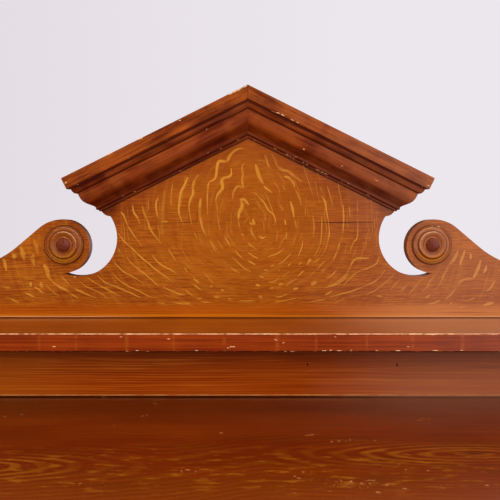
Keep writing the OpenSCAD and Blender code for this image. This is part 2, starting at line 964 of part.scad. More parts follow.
// Dovetails of one end of a drawer, as an outline in y and z
module dovetails() {
    root_w = tail_pitch() * 0.5;
    for (i = [0:dovetail_n - 1]) {
        z = drawer_side_low + tail_pitch() * (i + 0.5);
        polygon([
            [front_y + drawer_front_t + over, z - root_w / 2],
            [front_y + drawer_front_t, z - root_w / 2],
            [front_y + dovetail_lap, z - root_w / 2 - tail_flare],
            [front_y + dovetail_lap, z + root_w / 2 + tail_flare],
            [front_y + drawer_front_t, z + root_w / 2],
            [front_y + drawer_front_t + over, z + root_w / 2]
        ]);
    }
}

// Repeats its children at both ends of the right drawer
module both_drawer_ends() {
    translate([drawer_x, 0, 0]) both_sides() translate([-drawer_x, 0, 0]) children();
}

module drawer_bottom_board(extra = 0) {
    inner = drawer_w / 2 - drawer_side_t;
    block(
        [drawer_x - inner - drawer_groove - extra + slack,
         front_y + drawer_front_t - drawer_groove + slack - extra,
         drawer_bottom_low - extra / 2],
        [drawer_x + inner + drawer_groove + extra - slack, drawer_end_y, drawer_bottom_top + extra / 2]
    );
}

module drawer_knobs_at() {
    for (x = [open_in + drawer_gap + drawer_knob_in, open_out - drawer_gap - drawer_knob_in])
        translate([x, front_y, (drawer_front_low + drawer_front_top) / 2]) children();
}

module drawer_front() {
    color(grained) difference() {
        block(
            [drawer_x - drawer_w / 2, front_y, drawer_front_low],
            [drawer_x + drawer_w / 2, front_y + drawer_front_t, drawer_front_top]
        );
        both_drawer_ends()
            side_board(drawer_x + drawer_w / 2 - drawer_side_t, drawer_side_t + over) dovetails();
        drawer_bottom_board(slack);
        drawer_knobs_at() translate([0, -over, 0]) rotate([-90, 0, 0])
            cylinder(r = spigot_r + turn_gap, h = drawer_front_t + 2 * over);
    }
}

module drawer_sides() {
    color(bare) both_drawer_ends() difference() {
        side_board(drawer_x + drawer_w / 2 - drawer_side_t, drawer_side_t) union() {
            translate([front_y + drawer_front_t, drawer_side_low])
                square([drawer_end_y - front_y - drawer_front_t, drawer_side_top - drawer_side_low]);
            dovetails();
        }
        drawer_bottom_board(slack);
        block(
            [drawer_x, drawer_back_y, drawer_bottom_top],
            [drawer_x + drawer_w / 2 - drawer_side_t + drawer_groove, drawer_back_y + drawer_back_t,
             drawer_side_top + over]
        );
    }
}

module drawer_back() {
    reach = drawer_w / 2 - drawer_side_t + drawer_groove;
    color(bare) block(
        [drawer_x - reach, drawer_back_y, drawer_bottom_top + slack / 2],
        [drawer_x + reach, drawer_back_y + drawer_back_t, drawer_side_top - drawer_back_drop]
    );
}

module drawer_bottom() {
    color(bare) drawer_bottom_board();
}

module drawer_knobs() {
    color(dark) drawer_knobs_at() turned_knob(spigot_r, drawer_front_t);
}

module drawer_left_front() { mirror([1, 0, 0]) drawer_front(); }
module drawer_left_sides() { mirror([1, 0, 0]) drawer_sides(); }
module drawer_left_back() { mirror([1, 0, 0]) drawer_back(); }
module drawer_left_bottom() { mirror([1, 0, 0]) drawer_bottom(); }
module drawer_left_knobs() { mirror([1, 0, 0]) drawer_knobs(); }
module drawer_right_front() { drawer_front(); }
module drawer_right_sides() { drawer_sides(); }
module drawer_right_back() { drawer_back(); }
module drawer_right_bottom() { drawer_bottom(); }
module drawer_right_knobs() { drawer_knobs(); }

// Doors, drawn for the right of the centre line with the hinges on the outside

module door_tenons(low, high) {
    for (x = [door_in + door_stile_w - door_tenon, door_out - door_stile_w])
        block(
            [x, front_y + tenon_front, low + door_tenon_edge],
            [x + door_tenon, front_y + tenon_front + tenon_t, high - door_tenon_edge]
        );
}

module panel_board(extra = 0) {
    groove = panel_groove - panel_slack + extra;
    block(
        [door_in + door_stile_w - groove, panel_front, sight_low - groove],
        [door_out - door_stile_w + groove, panel_front + panel_t, sight_top + groove]
    );
}

module door_stiles() {
    color(grained) difference() {
        union() {
            block([door_in, front_y, door_z], [door_in + door_stile_w, frame_back, door_z + door_h]);
            block([door_out - door_stile_w, front_y, door_z], [door_out, frame_back, door_z + door_h]);
        }
        panel_board(panel_slack);
        door_tenons(door_z, sight_low);
        door_tenons(sight_top, door_z + door_h);
        leaf_recess(-1);
        translate([knob_x, front_y - over, knob_z]) rotate([-90, 0, 0])
            cylinder(r = spindle_r + turn_gap, h = frame_t + 2 * over);
    }
}

module door_rails() {
    color(grained) difference() {
        union() {
            for (span = [[door_z, sight_low], [sight_top, door_z + door_h]]) {
                block(
                    [door_in + door_stile_w, front_y, span[0]],
                    [door_out - door_stile_w, frame_back, span[1]]
                );
                door_tenons(span[0], span[1]);
            }
        }
        panel_board(panel_slack);
    }
}

module door_panel() {
    color(grained) panel_board();
}

// Mitred moulding planted round the panel in front of it
module door_beads() {
    bead_d = panel_front - front_y - 1;
    mid_x = (door_in + door_out) / 2;
    mid_z = (sight_low + sight_top) / 2;
    wide = door_w / 2 - door_stile_w;
    high = (sight_top - sight_low) / 2;
    color(dark) translate([mid_x, panel_front, mid_z]) for (turn = [0:3]) {
        reach = turn % 2 == 0 ? high : wide;
        run = turn % 2 == 0 ? wide : high;
        rotate([0, turn * 90, 0]) intersection() {
            translate([-run, 0, -reach]) rotate([90, 0, 90])
                linear_extrude(height = 2 * run) bead_section(bead_d);
            translate([0, over, 0]) rotate([90, 0, 0]) linear_extrude(height = bead_d + 2 * over) polygon([
                [-run + mitre_gap, -reach],
                [run - mitre_gap, -reach],
                [run - mitre_gap - bead_w, -reach + bead_w],
                [-run + mitre_gap + bead_w, -reach + bead_w]
            ]);
        }
    }
}

// Section of the planted moulding: x runs back to front and y in from the frame
module bead_section(d) {
    lip = 3;
    polygon([
        [0, 0],
        [-d, 0],
        [-d, bead_w * 0.2],
        [-d + 1.2, bead_w * 0.24],
        for (i = [0:8]) let (t = i / 8)
            [-d + 1.2 + (d - lip - 1.2) * ease(t), bead_w * (0.24 + 0.56 * t)],
        [-lip, bead_w * 0.86],
        [-lip + 1, bead_w],
        [0, bead_w]
    ]);
}

module door_knob() {
    color(dark) translate([knob_x, front_y, knob_z]) turned_knob(spindle_r, catch_y - front_y);
}

// Iron tongue on the end of the spindle, pointing up at rest
module door_catch() {
    color(iron) translate([knob_x, catch_y, knob_z]) rotate([-90, 0, 0]) linear_extrude(height = catch_t) {
        circle(r = catch_w / 2);
        translate([-catch_w / 2, -catch_l]) square([catch_w, catch_l]);
    }
}

module door_left_stiles() { mirror([1, 0, 0]) door_stiles(); }
module door_left_rails() { mirror([1, 0, 0]) door_rails(); }
module door_left_panel() { mirror([1, 0, 0]) door_panel(); }
module door_left_beads() { mirror([1, 0, 0]) door_beads(); }
module door_left_leaves() { color(brass) mirror([1, 0, 0]) hinge_leaf(-1); }
module door_left_knob() { mirror([1, 0, 0]) door_knob(); }
module door_left_catch() { mirror([1, 0, 0]) door_catch(); }
module door_right_stiles() { door_stiles(); }
module door_right_rails() { door_rails(); }
module door_right_panel() { door_panel(); }
module door_right_beads() { door_beads(); }
module door_right_leaves() { color(brass) hinge_leaf(-1); }
module door_right_knob() { door_knob(); }
module door_right_catch() { door_catch(); }

plinth_front();
plinth_ends();
end_left();
end_right();
bottom_board();
partition();
frame_stiles();
frame_muntin();
rail_top();
rail_mid();
rail_bottom();
drawer_runners();
drawer_guides();
drawer_kickers();
drawer_stops();
cupboard_shelves();
shelf_bearers();
back_boards();
glue_blocks();
worktop();
worktop_screws();
frame_hinge_leaves();
hinge_pins();
upstand_board();
gallery_shelf();
shelf_brackets();
gallery_board_lower();
gallery_board_upper();
crown_left();
crown_right();
crown_returns();
roundel_left();
roundel_right();
back_cleats();
cleat_screws();
drawer_left_front();
drawer_left_sides();
drawer_left_back();
drawer_left_bottom();
drawer_left_knobs();
drawer_right_front();
drawer_right_sides();
drawer_right_back();
drawer_right_bottom();
drawer_right_knobs();
door_left_stiles();
door_left_rails();
door_left_panel();
door_left_beads();
door_left_leaves();
door_left_knob();
door_left_catch();
door_right_stiles();
door_right_rails();
door_right_panel();
door_right_beads();
door_right_leaves();
door_right_knob();
door_right_catch();
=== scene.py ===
import json
import math
import random

import bmesh
import bpy
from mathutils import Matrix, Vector
from mathutils.bvhtree import BVHTree


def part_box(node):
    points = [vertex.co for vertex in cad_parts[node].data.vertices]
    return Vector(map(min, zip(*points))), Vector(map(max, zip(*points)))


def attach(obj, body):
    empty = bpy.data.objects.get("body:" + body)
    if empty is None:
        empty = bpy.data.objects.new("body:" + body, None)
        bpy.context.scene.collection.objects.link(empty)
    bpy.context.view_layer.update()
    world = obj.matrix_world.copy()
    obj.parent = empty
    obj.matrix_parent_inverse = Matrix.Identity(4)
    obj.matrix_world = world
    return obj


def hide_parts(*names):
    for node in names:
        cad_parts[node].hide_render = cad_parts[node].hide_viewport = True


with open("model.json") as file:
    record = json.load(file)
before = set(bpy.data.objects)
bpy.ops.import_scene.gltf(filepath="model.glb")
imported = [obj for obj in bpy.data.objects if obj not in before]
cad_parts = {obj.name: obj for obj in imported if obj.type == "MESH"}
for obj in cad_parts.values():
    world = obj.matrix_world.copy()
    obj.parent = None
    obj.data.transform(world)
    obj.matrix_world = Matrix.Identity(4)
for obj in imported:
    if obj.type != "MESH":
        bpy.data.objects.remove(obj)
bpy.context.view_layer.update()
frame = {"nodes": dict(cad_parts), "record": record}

# The kitchen dresser, dressed: each board keeps its place and size and gets eased edges and its finish.
# Lengths are metres in the meshes. Inside the finishes they are millimetres, as on the bench.

RECORD = frame["record"]
SLOT = {part["node"]: part["material_slot"] for part in RECORD["subparts"]}
BODY = {node: body for body, nodes in RECORD["behaviour"]["bodies"].items() for node in nodes}


# Places taken from the frame

def low(node):
    return Vector(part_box(node)[0])


def high(node):
    return Vector(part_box(node)[1])


BOARD_FACE = low("gallery_board_lower").y
SHELF_TOP = low("gallery_board_lower").z
SHELF_MM = SHELF_TOP * 1000
BACK = high("gallery_board_lower").y
INSIDE = -high("end_left").x                # half the width between the end boards
JOINT = low("gallery_board_upper").z        # where the two gallery boards meet
APEX_MM = high("crown_left").z * 1000
CROWN_END = high("crown_right").x * 1000
EAR = CROWN_END - 56                        # the dark place under each end of the crown
RAKE = math.radians(26.4)                   # slope of the raking mouldings
HEART = (3.0, SHELF_MM + 125)               # where the gallery's figure starts, in millimetres


# Colours as they look on a screen, from 0 to 255

def display(red, green, blue):
    def straight(part):
        part = part / 255
        return part / 12.92 if part <= 0.04045 else ((part + 0.055) / 1.055) ** 2.4
    return (straight(red), straight(green), straight(blue), 1)


GROUND = display(160, 73, 5)
GROUND_DEEP = display(128, 50, 1)
GROUND_PALE = display(187, 101, 15)
GROUND_GOLD = display(170, 85, 2)
GROUND_FOOT = display(182, 82, 2)
FLAKE = display(208, 138, 40)
# Colour of a painted sheen: a pale, cool reflection laid into the colour, mostly towards the right
PAINTED_SHEEN = display(190, 128, 96)
RED_BROWN = display(128, 46, 7)
RED_DEEP = display(66, 7, 0)
RED_PALE = display(178, 84, 20)
UPSTAND_RED = display(182, 70, 3)
UPSTAND_DARK = display(128, 40, 1)
UPSTAND_PALE = display(216, 112, 24)
WORKTOP_RED = display(134, 44, 1)
WORKTOP_DEEP = display(84, 18, 1)
WORKTOP_BROWN = display(128, 56, 1)
WORKTOP_GOLD = display(172, 98, 16)
CHIP = display(240, 194, 144)
CHIP_DARK = display(204, 138, 78)
SHELF_DEEP = display(96, 32, 1)
SHELF_BROWN = display(149, 69, 2)
# Dark for cracks and filled holes, and also for painted shade in corners and under the gallery shelf
SCUFF = display(176, 112, 52)
DARK_CRACK_AND_SHADE = display(44, 14, 6)
CROWN_GOLD = display(160, 80, 24)
CROWN_LIT = display(150, 68, 28)
BARE = display(206, 158, 106)
BARE_DARK = display(172, 118, 70)
FOOT_GLOW = display(204, 112, 8)
FOOT_PALE_STREAK = display(210, 134, 70)
FOOT_WORN = display(224, 158, 104)
SHELF_EDGE_DEEP = display(104, 26, 1)
SHELF_EDGE = display(172, 66, 4)
SHELF_BAR = display(186, 98, 26)
SHELF_WORN = display(222, 158, 110)
UPSTAND_FOOT = display(196, 74, 2)
UPSTAND_WORN = display(216, 146, 76)
ROUNDEL = display(148, 78, 32)
ROUNDEL_GOLD = display(186, 112, 10)
GROOVE = display(84, 30, 8)
RING_WEAR_AND_HIGHLIGHT = display(220, 176, 126)
BUTTON_DEEP = display(88, 28, 16)
BUTTON = display(136, 62, 36)
BOARD_GAP = display(62, 38, 22)
NAIL_HEAD = display(60, 50, 44)
SCUFF_DEEP = display(122, 62, 16)
SCUFF_PALE = display(180, 118, 62)
FILLING = display(84, 34, 12)
IRON = display(92, 86, 80)
IRON_DEEP = display(44, 38, 36)
BRASS = display(206, 164, 84)
BRASS_DEEP = display(128, 92, 40)
BACKDROP = display(236, 231, 237)
BACKDROP_LEFT = display(228, 222, 228)

# Lines on the raking moulding, as distances in millimetres from its top edge
QUIRK_HIGH = 17.8
ROUND_LIT = 22.4
QUIRK_LOW = 26.3
CYMA_LIT = 34.0
CYMA_HOLLOW = 49.5
FOOT_LINE = 56.2
CROWN_FOOT = 59.6


# Finishes

class Tone:
    """One value in a finish. Sums on it add Math nodes."""

    def __init__(self, finish, socket):
        self.finish = finish
        self.socket = socket

    def __add__(self, other):
        return self.finish.sum("ADD", self, other)

    __radd__ = __add__

    def __mul__(self, other):
        return self.finish.sum("MULTIPLY", self, other)

    __rmul__ = __mul__

    def __sub__(self, other):
        return self.finish.sum("SUBTRACT", self, other)

    def __rsub__(self, other):
        return self.finish.sum("SUBTRACT", other, self)

    def __truediv__(self, other):
        return self.finish.sum("DIVIDE", self, other)


class Nodes:
    """The nodes of a material or of the world."""

    def __init__(self, owner):
        owner.use_nodes = True
        self.tree = owner.node_tree
        self.tree.nodes.clear()

    def add(self, kind, settings={}, sockets={}):
        """A node of the given type: its settings first, then what its sockets hold."""
        node = self.tree.nodes.new("ShaderNode" + kind)
        for name, value in settings.items():
            setattr(node, name, value)
        for key, value in sockets.items():
            self.put(node.inputs[key], value)
        return node

    def put(self, socket, value):
        if isinstance(value, Tone):
            value = value.socket
        if isinstance(value, bpy.types.NodeSocket):
            self.tree.links.new(value, socket)
        else:
            socket.default_value = value


class Finish(Nodes):
    """A material, with the piece's own coordinates in millimetres."""

    def __init__(self, name):
        self.material = bpy.data.materials.new(name)
        super().__init__(self.material)
        self.shader = self.add("BsdfPrincipled")
        self.add("OutputMaterial", sockets={"Surface": self.shader.outputs[0]})
        apart = self.add("SeparateXYZ", sockets={0: self.add("TexCoord").outputs["Object"]})
        self.x, self.y, self.z = (Tone(self, socket) * 1000 for socket in apart.outputs)

    def sum(self, operation, *values, clamp=False):
        node = self.add("Math", {"operation": operation, "use_clamp": clamp}, dict(enumerate(values)))
        return Tone(self, node.outputs[0])

    def limit(self, value):
        return self.sum("ADD", value, 0, clamp=True)

    def size(self, value):
        return self.sum("ABSOLUTE", value)

    def far(self, across, up):
        """The distance that two parts at right angles make."""
        return self.sum("SQRT", across * across + up * up)

    def marked(self, name):
        """A value that the mesh carries."""
        return Tone(self, self.add("Attribute", {"attribute_name": name}).outputs["Fac"])

    def step(self, value, start, end):
        """From 0 at start to 1 at end, eased. start may be the larger one."""
        node = self.add("MapRange", {"interpolation_type": "SMOOTHSTEP"},
                        {"Value": value, "From Min": start, "From Max": end, "To Min": 0.0, "To Max": 1.0})
        return Tone(self, node.outputs[0])

    def near(self, value, place, half, soft):
        """1 within half of the place, and 0 from half and soft on."""
        return self.step(self.size(value - place), half + soft, half)

    def blend(self, share, first, second):
        """Numbers: first where share is 0, second where it is 1."""
        return first + share * (second - first)

    def noise(self, x, y, z, detail=2.0, roughness=0.5):
        point = self.add("CombineXYZ", sockets={0: x, 1: y, 2: z}).outputs[0]
        node = self.add("TexNoise", {"noise_dimensions": "3D"},
                        {"Vector": point, "Scale": 1.0, "Detail": detail, "Roughness": roughness})
        return Tone(self, node.outputs[0])

    def mixed(self, middle, *parts):
        """A middle value moved by noises, each with its own weight, and kept between 0 and 1."""
        for noise, weight in parts:
            middle = middle + (noise - 0.5) * weight
        return self.limit(middle)

    def most(self, *values):
        """The largest of the values."""
        largest = values[0]
        for value in values[1:]:
            largest = self.sum("MAXIMUM", largest, value)
        return largest

    def part(self, value):
        """How far a value lies past the whole number below it."""
        return value - self.sum("FLOOR", value)

    def tint(self, share, first, second):
        """Colours: first where share is 0, second where it is 1."""
        node = self.add("Mix", {"data_type": "RGBA"}, {0: share, 6: first, 7: second})
        return node.outputs[2]

    def lay(self, colour, share):
        """A layer of another colour over the finish's own, as strong as its share."""
        self.colour = self.tint(share, self.colour, colour)

    def coat(self, roughness, relief=None, height=0.0, coat=0.0, metal=0.0):
        """Sets the surface: the colours laid so far, and a relief of the given height in millimetres."""
        self.put(self.shader.inputs["Base Color"], self.colour)
        self.put(self.shader.inputs["Roughness"], roughness)
        self.put(self.shader.inputs["Metallic"], metal)
        self.put(self.shader.inputs["Coat Weight"], coat)
        self.shader.inputs["Coat Roughness"].default_value = 0.16
        self.shader.inputs["Specular IOR Level"].default_value = 0.5 if metal else 0.1
        if relief is not None:
            bump = self.add("Bump", {}, {"Strength": 1.0, "Distance": height / 1000, "Height": relief})
            self.put(self.shader.inputs["Normal"], bump.outputs[0])
        return self.material


def lines(f, along, length, width, shift, detail=3.0):
    """Streaks that run along one axis, of the given length and width."""
    scale = {axis: 1 / width for axis in "xyz"}
    scale[along] = 1 / length
    return f.noise(f.x * scale["x"] + shift, f.y * scale["y"], f.z * scale["z"] + shift, detail, 0.55)


def clouds(f, size, shift=0.0, detail=2.0):
    """Patches of the given size."""
    return f.noise(f.x / size + shift, f.y / size, f.z / size, detail)


def painted_sheen(f):
    """How strong the painted sheen is: a pale, cool reflection laid into the colour, more towards the right-hand end.
    """
    return f.step(f.x + f.noise(f.x / 90, f.y / 90, f.z / 50) * 120, 110, 320)


def bare_behind(f):
    """The back of a board was never painted."""
    wood = f.tint(lines(f, "x", 180, 6, 21.0), BARE_DARK, BARE)
    f.lay(wood, f.step(f.y, BACK * 1000 - 1.2, BACK * 1000 - 0.7))


def chipped(f, chips):
    """Small bare places, gathered in patches along the edges. A face has no chips, an edge some."""
    if chips:
        patch = clouds(f, 37, detail=1.0)
        speck = clouds(f, 4, detail=3.0)
        bare = f.step(speck + (patch - 0.5) * 0.9, 0.86 - chips, 0.91 - chips)
        f.lay(f.tint(speck, CHIP_DARK, CHIP), bare)


def combed_ground(f, along, seed, heart=None):
    """Pine painted a warm brown and combed along the board. Gives the relief."""
    comb = lines(f, along, 55, 1.5, seed, 1.5)
    fine = lines(f, along, 15, 1.0, seed + 3, 1.0)
    broad = lines(f, along, 260, 17, seed + 9, 2.0)
    cloud = clouds(f, 120, seed)
    warm = f.mixed(0.46, (comb, 1.8), (fine, 1.8), (broad, 0.8), (cloud, 0.9))
    f.colour = f.tint(f.step(warm, 0.0, 1.0), GROUND_DEEP, GROUND_PALE)
    f.lay(GROUND, 0.2)
    if heart:
        across = f.x - heart[0]
        up = f.z - heart[1]
        rise = up / f.blend(f.step(up, 20, -20), 1.55, 0.85)
        reach = f.far(across, rise) + 0.01
        ring = f.noise(across / reach * 2.6 + seed, rise / reach * 2.6, reach / 4.6, 2.5)
        f.lay(GROUND_GOLD, f.step(reach, 190, 20) * 0.55)
        f.lay(FLAKE, f.step(ring, 0.55, 0.72) * 0.2)
        f.lay(GROUND_DEEP, f.step(ring, 0.46, 0.3) * 0.3)
    return comb + fine


def grained(name, along, seed, chips=0.0, heart=None, inside=False):
    """Pine painted and combed to look like oak. With inside, the faces towards the cupboard are bare."""
    f = Finish(name)
    relief = combed_ground(f, along, seed, heart)
    if inside:
        wood = f.tint(lines(f, along, 180, 6, seed), BARE_DARK, BARE)
        f.lay(wood, f.step(f.size(f.x), INSIDE * 1000 + 0.8, INSIDE * 1000 + 0.3))
    chipped(f, chips)
    return f.coat(0.42, relief, 0.09, 0.45)


def crown_drop(f):
    """Distance from the moulding's top edge, square to its run, the same on both sides."""
    return APEX_MM * math.cos(RAKE) - (f.size(f.x) * math.sin(RAKE) + f.z * math.cos(RAKE))


def gallery_colour(f):
    """The gallery boards: combed ground with rings round the heart, and a streaky foot above the shelf."""
    relief = combed_ground(f, "x", 7.0, HEART)
    up = f.z - SHELF_MM
    streak = lines(f, "x", 170, 1.5, 2.0, 2.5)
    foot = f.tint(f.step(streak, 0.2, 0.56), GROUND_DEEP, GROUND_FOOT)
    foot = f.tint(f.step(streak, 0.55, 0.75) * 0.5, foot, GROUND_PALE)
    wander = (f.noise(f.x / 70, 0.0, 4.0, 1.0) - 0.5) * 9
    f.lay(foot, f.step(up + wander, 24, 11) * 0.85)
    f.lay(FOOT_GLOW, f.near(up, 3.6, 1.2, 1.8) * f.step(streak, 0.3, 0.55) * 0.7)
    # Pale streaks in the foot band, growing towards the right as a painted sheen
    pale_marks = f.step(up + wander, 24, 10) * f.step(streak, 0.28, 0.56) * f.step(f.x, 60, 250)
    f.lay(FOOT_PALE_STREAK, pale_marks * 0.6)
    worn = f.near(up, 2.2, 0.5, 0.7) * f.step(f.size(f.x), 110, 230) * f.step(streak, 0.3, 0.5)
    f.lay(FOOT_WORN, worn * 0.6)
    drop = crown_drop(f)
    under = f.step(f.size(f.x), CROWN_END - 4, CROWN_END - 9)
    # Painted shadow: the board darkens just under the raking moulding
    f.lay(RED_BROWN, f.step(drop, CROWN_FOOT + 34, CROWN_FOOT) * under * 0.45)
    ear = f.near(f.size(f.x), EAR, 7, 14) * f.step(drop, CROWN_FOOT + 20, CROWN_FOOT + 4) * f.step(up, 112, 124)
    f.lay(RED_DEEP, ear * 0.6)
    # Painted sheen towards the right
    f.lay(PAINTED_SHEEN, painted_sheen(f) * 0.23)
    # Painted shade in the corners: along the moulding's foot and where the board meets the shelf
    line = f.near(drop, CROWN_FOOT, 0.7, 0.9) * f.step(f.size(f.x), 203, 199) * 0.85
    painted_corner_shade = f.most(line, f.near(up, 0.0, 1.0, 0.4))
    f.lay(DARK_CRACK_AND_SHADE, painted_corner_shade * 0.9)
    bare_behind(f)
    return relief


def gallery_grain(name, chips=0.0):
    f = Finish(name)
    relief = gallery_colour(f)
    if chips:
        f.lay(GROUND_PALE, 0.35)
    chipped(f, chips)
    return f.coat(0.42, relief, 0.09, 0.45)


def flaked(name, ground):
    """A grainer's flake: the ground wiped to gold along the middle of a strip, with melting edges."""
    f = Finish(name)
    relief = ground(f)
    across = f.marked("across")
    ragged = clouds(f, 2.4) - 0.5
    cover = clouds(f, 17)
    body = f.step(f.size(across + ragged * 0.5 - 0.06), 0.92, 0.4)
    share = f.limit(body * f.marked("force") * f.step(cover, 0.14, 0.6))
    shade = f.near(across, -0.86, 0.0, 0.3) * f.marked("force") * 0.3
    f.lay(GROUND_DEEP, shade)
    # On the gallery the flakes also take the painted sheen towards the right
    gold = f.tint(painted_sheen(f) * 0.4, FLAKE, PAINTED_SHEEN) if name.startswith("gallery") else FLAKE
    f.lay(gold, share)
    return f.coat(0.42, relief, 0.09, 0.45)


def dark_pine(name, along, seed, chips=0.0):
    """Red-brown varnished pine, mottled across the grain."""
    f = Finish(name)
    comb = lines(f, along, 160, 5, seed)
    fine = lines(f, along, 50, 1.4, seed + 5)
    length = {"x": f.x, "y": f.y, "z": f.z}[along]
    mottle = f.noise(length / 34 + seed, 0.0, 0.0)
    cloud = clouds(f, 90, seed)
    warm = f.mixed(0.45, (comb, 1.5), (fine, 1.0), (mottle, 1.1), (cloud, 1.0))
    f.colour = f.tint(warm, RED_DEEP, RED_PALE)
    f.lay(RED_BROWN, 0.4)
    chipped(f, chips)
    return f.coat(0.36, comb + fine, 0.12, 0.8)


def crown_pine(name, chips=0.0):
    """The raking moulding: stained dark, with painted shade in its hollows, quirks and foot, and a painted highlight
    on the roll of its cyma.
    """
    f = Finish(name)
    side = f.sum("SIGN", f.x)
    out = f.size(f.x)
    run = out * math.cos(RAKE) - f.z * math.sin(RAKE) + side * 700
    drop = crown_drop(f)
    comb = f.noise(run / 75, f.y / 3, drop / 3, 3.0, 0.55)
    fine = f.noise(run / 26, f.y / 1.1, drop / 1.1, 2.0, 0.55)
    mottle = f.noise(run / 30, f.y / 90, drop / 16, 2.5)
    slow = f.noise(run / 62, 0.0, drop / 90, 1.0)
    cyma = f.step(drop, QUIRK_LOW, CYMA_LIT)
    warm = f.mixed(0.4, (comb, 1.9), (fine, 1.3), (slow, 1.3), (mottle, f.blend(cyma, 1.0, 1.2)))
    f.colour = f.tint(warm, RED_DEEP, RED_PALE)
    f.lay(RED_BROWN, f.blend(cyma, 0.2, 0.4))
    gold = f.step(comb * 0.6 + mottle * 0.4, 0.4, 0.62)
    # The gold on the fillet grows towards the right: a painted sheen
    gold = gold * f.blend(f.step(f.x, -80, 60), 0.4, 1.0)
    f.lay(CROWN_GOLD, f.step(drop, 16, 13) * f.blend(gold, 0.1, 0.5))
    # Painted highlight on the upper roll of the cyma, broken by the mottle
    lit = f.near(drop, CYMA_LIT, 5.0, 7.0) * f.blend(f.step(mottle, 0.35, 0.65), 0.1, 0.45)
    f.lay(CROWN_LIT, lit)
    bar = f.noise(run / 27, 0.0, drop / 70, 1.5)
    f.lay(RED_DEEP, f.step(bar, 0.56, 0.7) * 0.25)
    f.lay(CROWN_GOLD, f.step(bar, 0.42, 0.28) * 0.35)
    # Painted sheen towards the right
    f.lay(PAINTED_SHEEN, painted_sheen(f) * 0.23)
    # Painted shade in the cyma's hollow, on the ovolo, in the quirks under the fillet and along the foot; the line at
    # the middle is the dark mitre joint
    dark = f.most(
        f.near(drop, CYMA_HOLLOW, 4.5, 5.0) * f.blend(f.step(mottle, 0.3, 0.7), 0.75, 0.45),
        f.near(drop, ROUND_LIT, 2.6, 0.8) * 0.28,
        f.near(drop, QUIRK_HIGH, 1.1, 0.8) * 0.85,
        f.near(drop, QUIRK_LOW, 0.5, 0.7),
        f.near(drop, FOOT_LINE, 0.6, 0.7) * 0.97,
        f.step(drop, FOOT_LINE - 7, FOOT_LINE - 2) * f.step(drop, FOOT_LINE + 1.2, FOOT_LINE) * 0.6,
        f.step(drop, FOOT_LINE + 0.6, FOOT_LINE + 1.3) * 0.4,
        f.near(out, 0.0, 0.3, 0.6) * 0.6)
    f.lay(RED_DEEP, dark)
    if chips:
        f.lay(RED_PALE, f.step(drop, 54, 50) * 0.3)
    chipped(f, chips)
    return f.coat(0.36, comb + fine, 0.1, 0.3)


def shelf_pine(name, chips=0.0):
    """The gallery shelf: an orange top like the boards above, and a redder front edge with slow bars."""
    f = Finish(name)
    comb = lines(f, "x", 170, 2.6, 3.0)
    fine = lines(f, "x", 50, 1.2, 8.0)
    slow = f.noise(f.x / 60, f.y / 60, 2.0)
    count = f.x / 56 + (f.noise(f.x / 110, 0.0, 6.0, 1.0) - 0.5) * 1.2
    bars = f.near(f.part(count), 0.5, 0.008, 0.045) * f.step(f.noise(f.x / 40, 0.0, f.z / 7, 1.0), 0.3, 0.6)
    warm = f.mixed(0.5, (comb, 1.5), (fine, 0.8), (slow, 0.8))
    edge = f.tint(warm, SHELF_EDGE_DEEP, SHELF_EDGE)
    edge = f.tint(bars * 0.28, edge, SHELF_BAR)
    warm = f.mixed(0.5, (comb, 2.6), (fine, 1.0), (slow, 1.0))
    top = f.tint(warm, SHELF_DEEP, SHELF_BROWN)
    upper = f.step(f.z - SHELF_MM, -1.1, -0.4)
    f.colour = f.tint(upper, edge, top)
    # Painted sheen towards the right, stronger on the top than on the front edge
    f.lay(PAINTED_SHEEN, painted_sheen(f) * f.blend(upper, 0.06, 0.5))
    bare_behind(f)
    if chips:
        down = SHELF_MM - f.z
        speck = f.noise(f.x / 7, f.y / 3, 1.0, 2.5, 0.6)
        f.lay(SHELF_WORN, f.step(speck, 0.3, 0.6) * f.step(down, 9, 6) * 0.9)
        f.lay(DARK_CRACK_AND_SHADE, f.step(down, 19, 20.6) * f.step(speck, 0.62, 0.5) * 0.85)
    chipped(f, chips)
    return f.coat(0.36, comb + fine, 0.1, 0.8)


def upstand_pine(name, chips=0.0):
    """The board under the gallery shelf: strong level grain lines on orange-red."""
    f = Finish(name)
    bend = (f.noise(f.x / 260, 0.0, f.z / 60, 1.0) - 0.5) * 7
    up = f.z + bend
    grain = f.noise(f.x / 420, f.y / 4, up, 2.0, 0.6)
    fine = f.noise(f.x / 120, f.y / 1.3, up / 0.8, 2.0, 0.6)
    slow = f.noise(f.x / 120, f.y / 40, up / 26, 1.0)
    rise = f.z - high("worktop").z * 1000
    deep = f.step(rise, 44, 8)
    warm = f.mixed(0.56, (grain, f.blend(deep, 1.1, 1.9)), (fine, 1.4), (slow, 0.4))
    f.colour = f.tint(f.step(warm, 0.1, 0.6), UPSTAND_DARK, UPSTAND_RED)
    f.lay(UPSTAND_PALE, f.step(warm, 0.55, 0.95))
    f.lay(UPSTAND_FOOT, f.step(rise, 40, 4) * 0.35)
    # Painted sheen at the left-hand end
    f.lay(UPSTAND_PALE, f.step(f.x, -200, -330) * 0.35)
    pale_marks = f.step(f.noise(f.x / 22, 0.0, 1.0, 3.0), 0.36, 0.6)
    f.lay(UPSTAND_WORN, f.near(rise, 3.0, 0.6, 0.8) * f.blend(pale_marks, 0.3, 0.8))
    f.lay(DARK_CRACK_AND_SHADE, f.step(rise, 2.2, 1.4) * 0.9)
    # Painted shadow of the gallery shelf over the upstand's upper part
    f.lay(DARK_CRACK_AND_SHADE, f.step(rise, 46, 62) * 0.3)
    # Painted sheen towards the right
    f.lay(PAINTED_SHEEN, painted_sheen(f) * 0.42)
    bare_behind(f)
    chipped(f, chips)
    return f.coat(0.36, grain + fine, 0.1, 0.6)


RING_WIDTH = 8.8        # of the rings in the worktop's figure, in millimetres

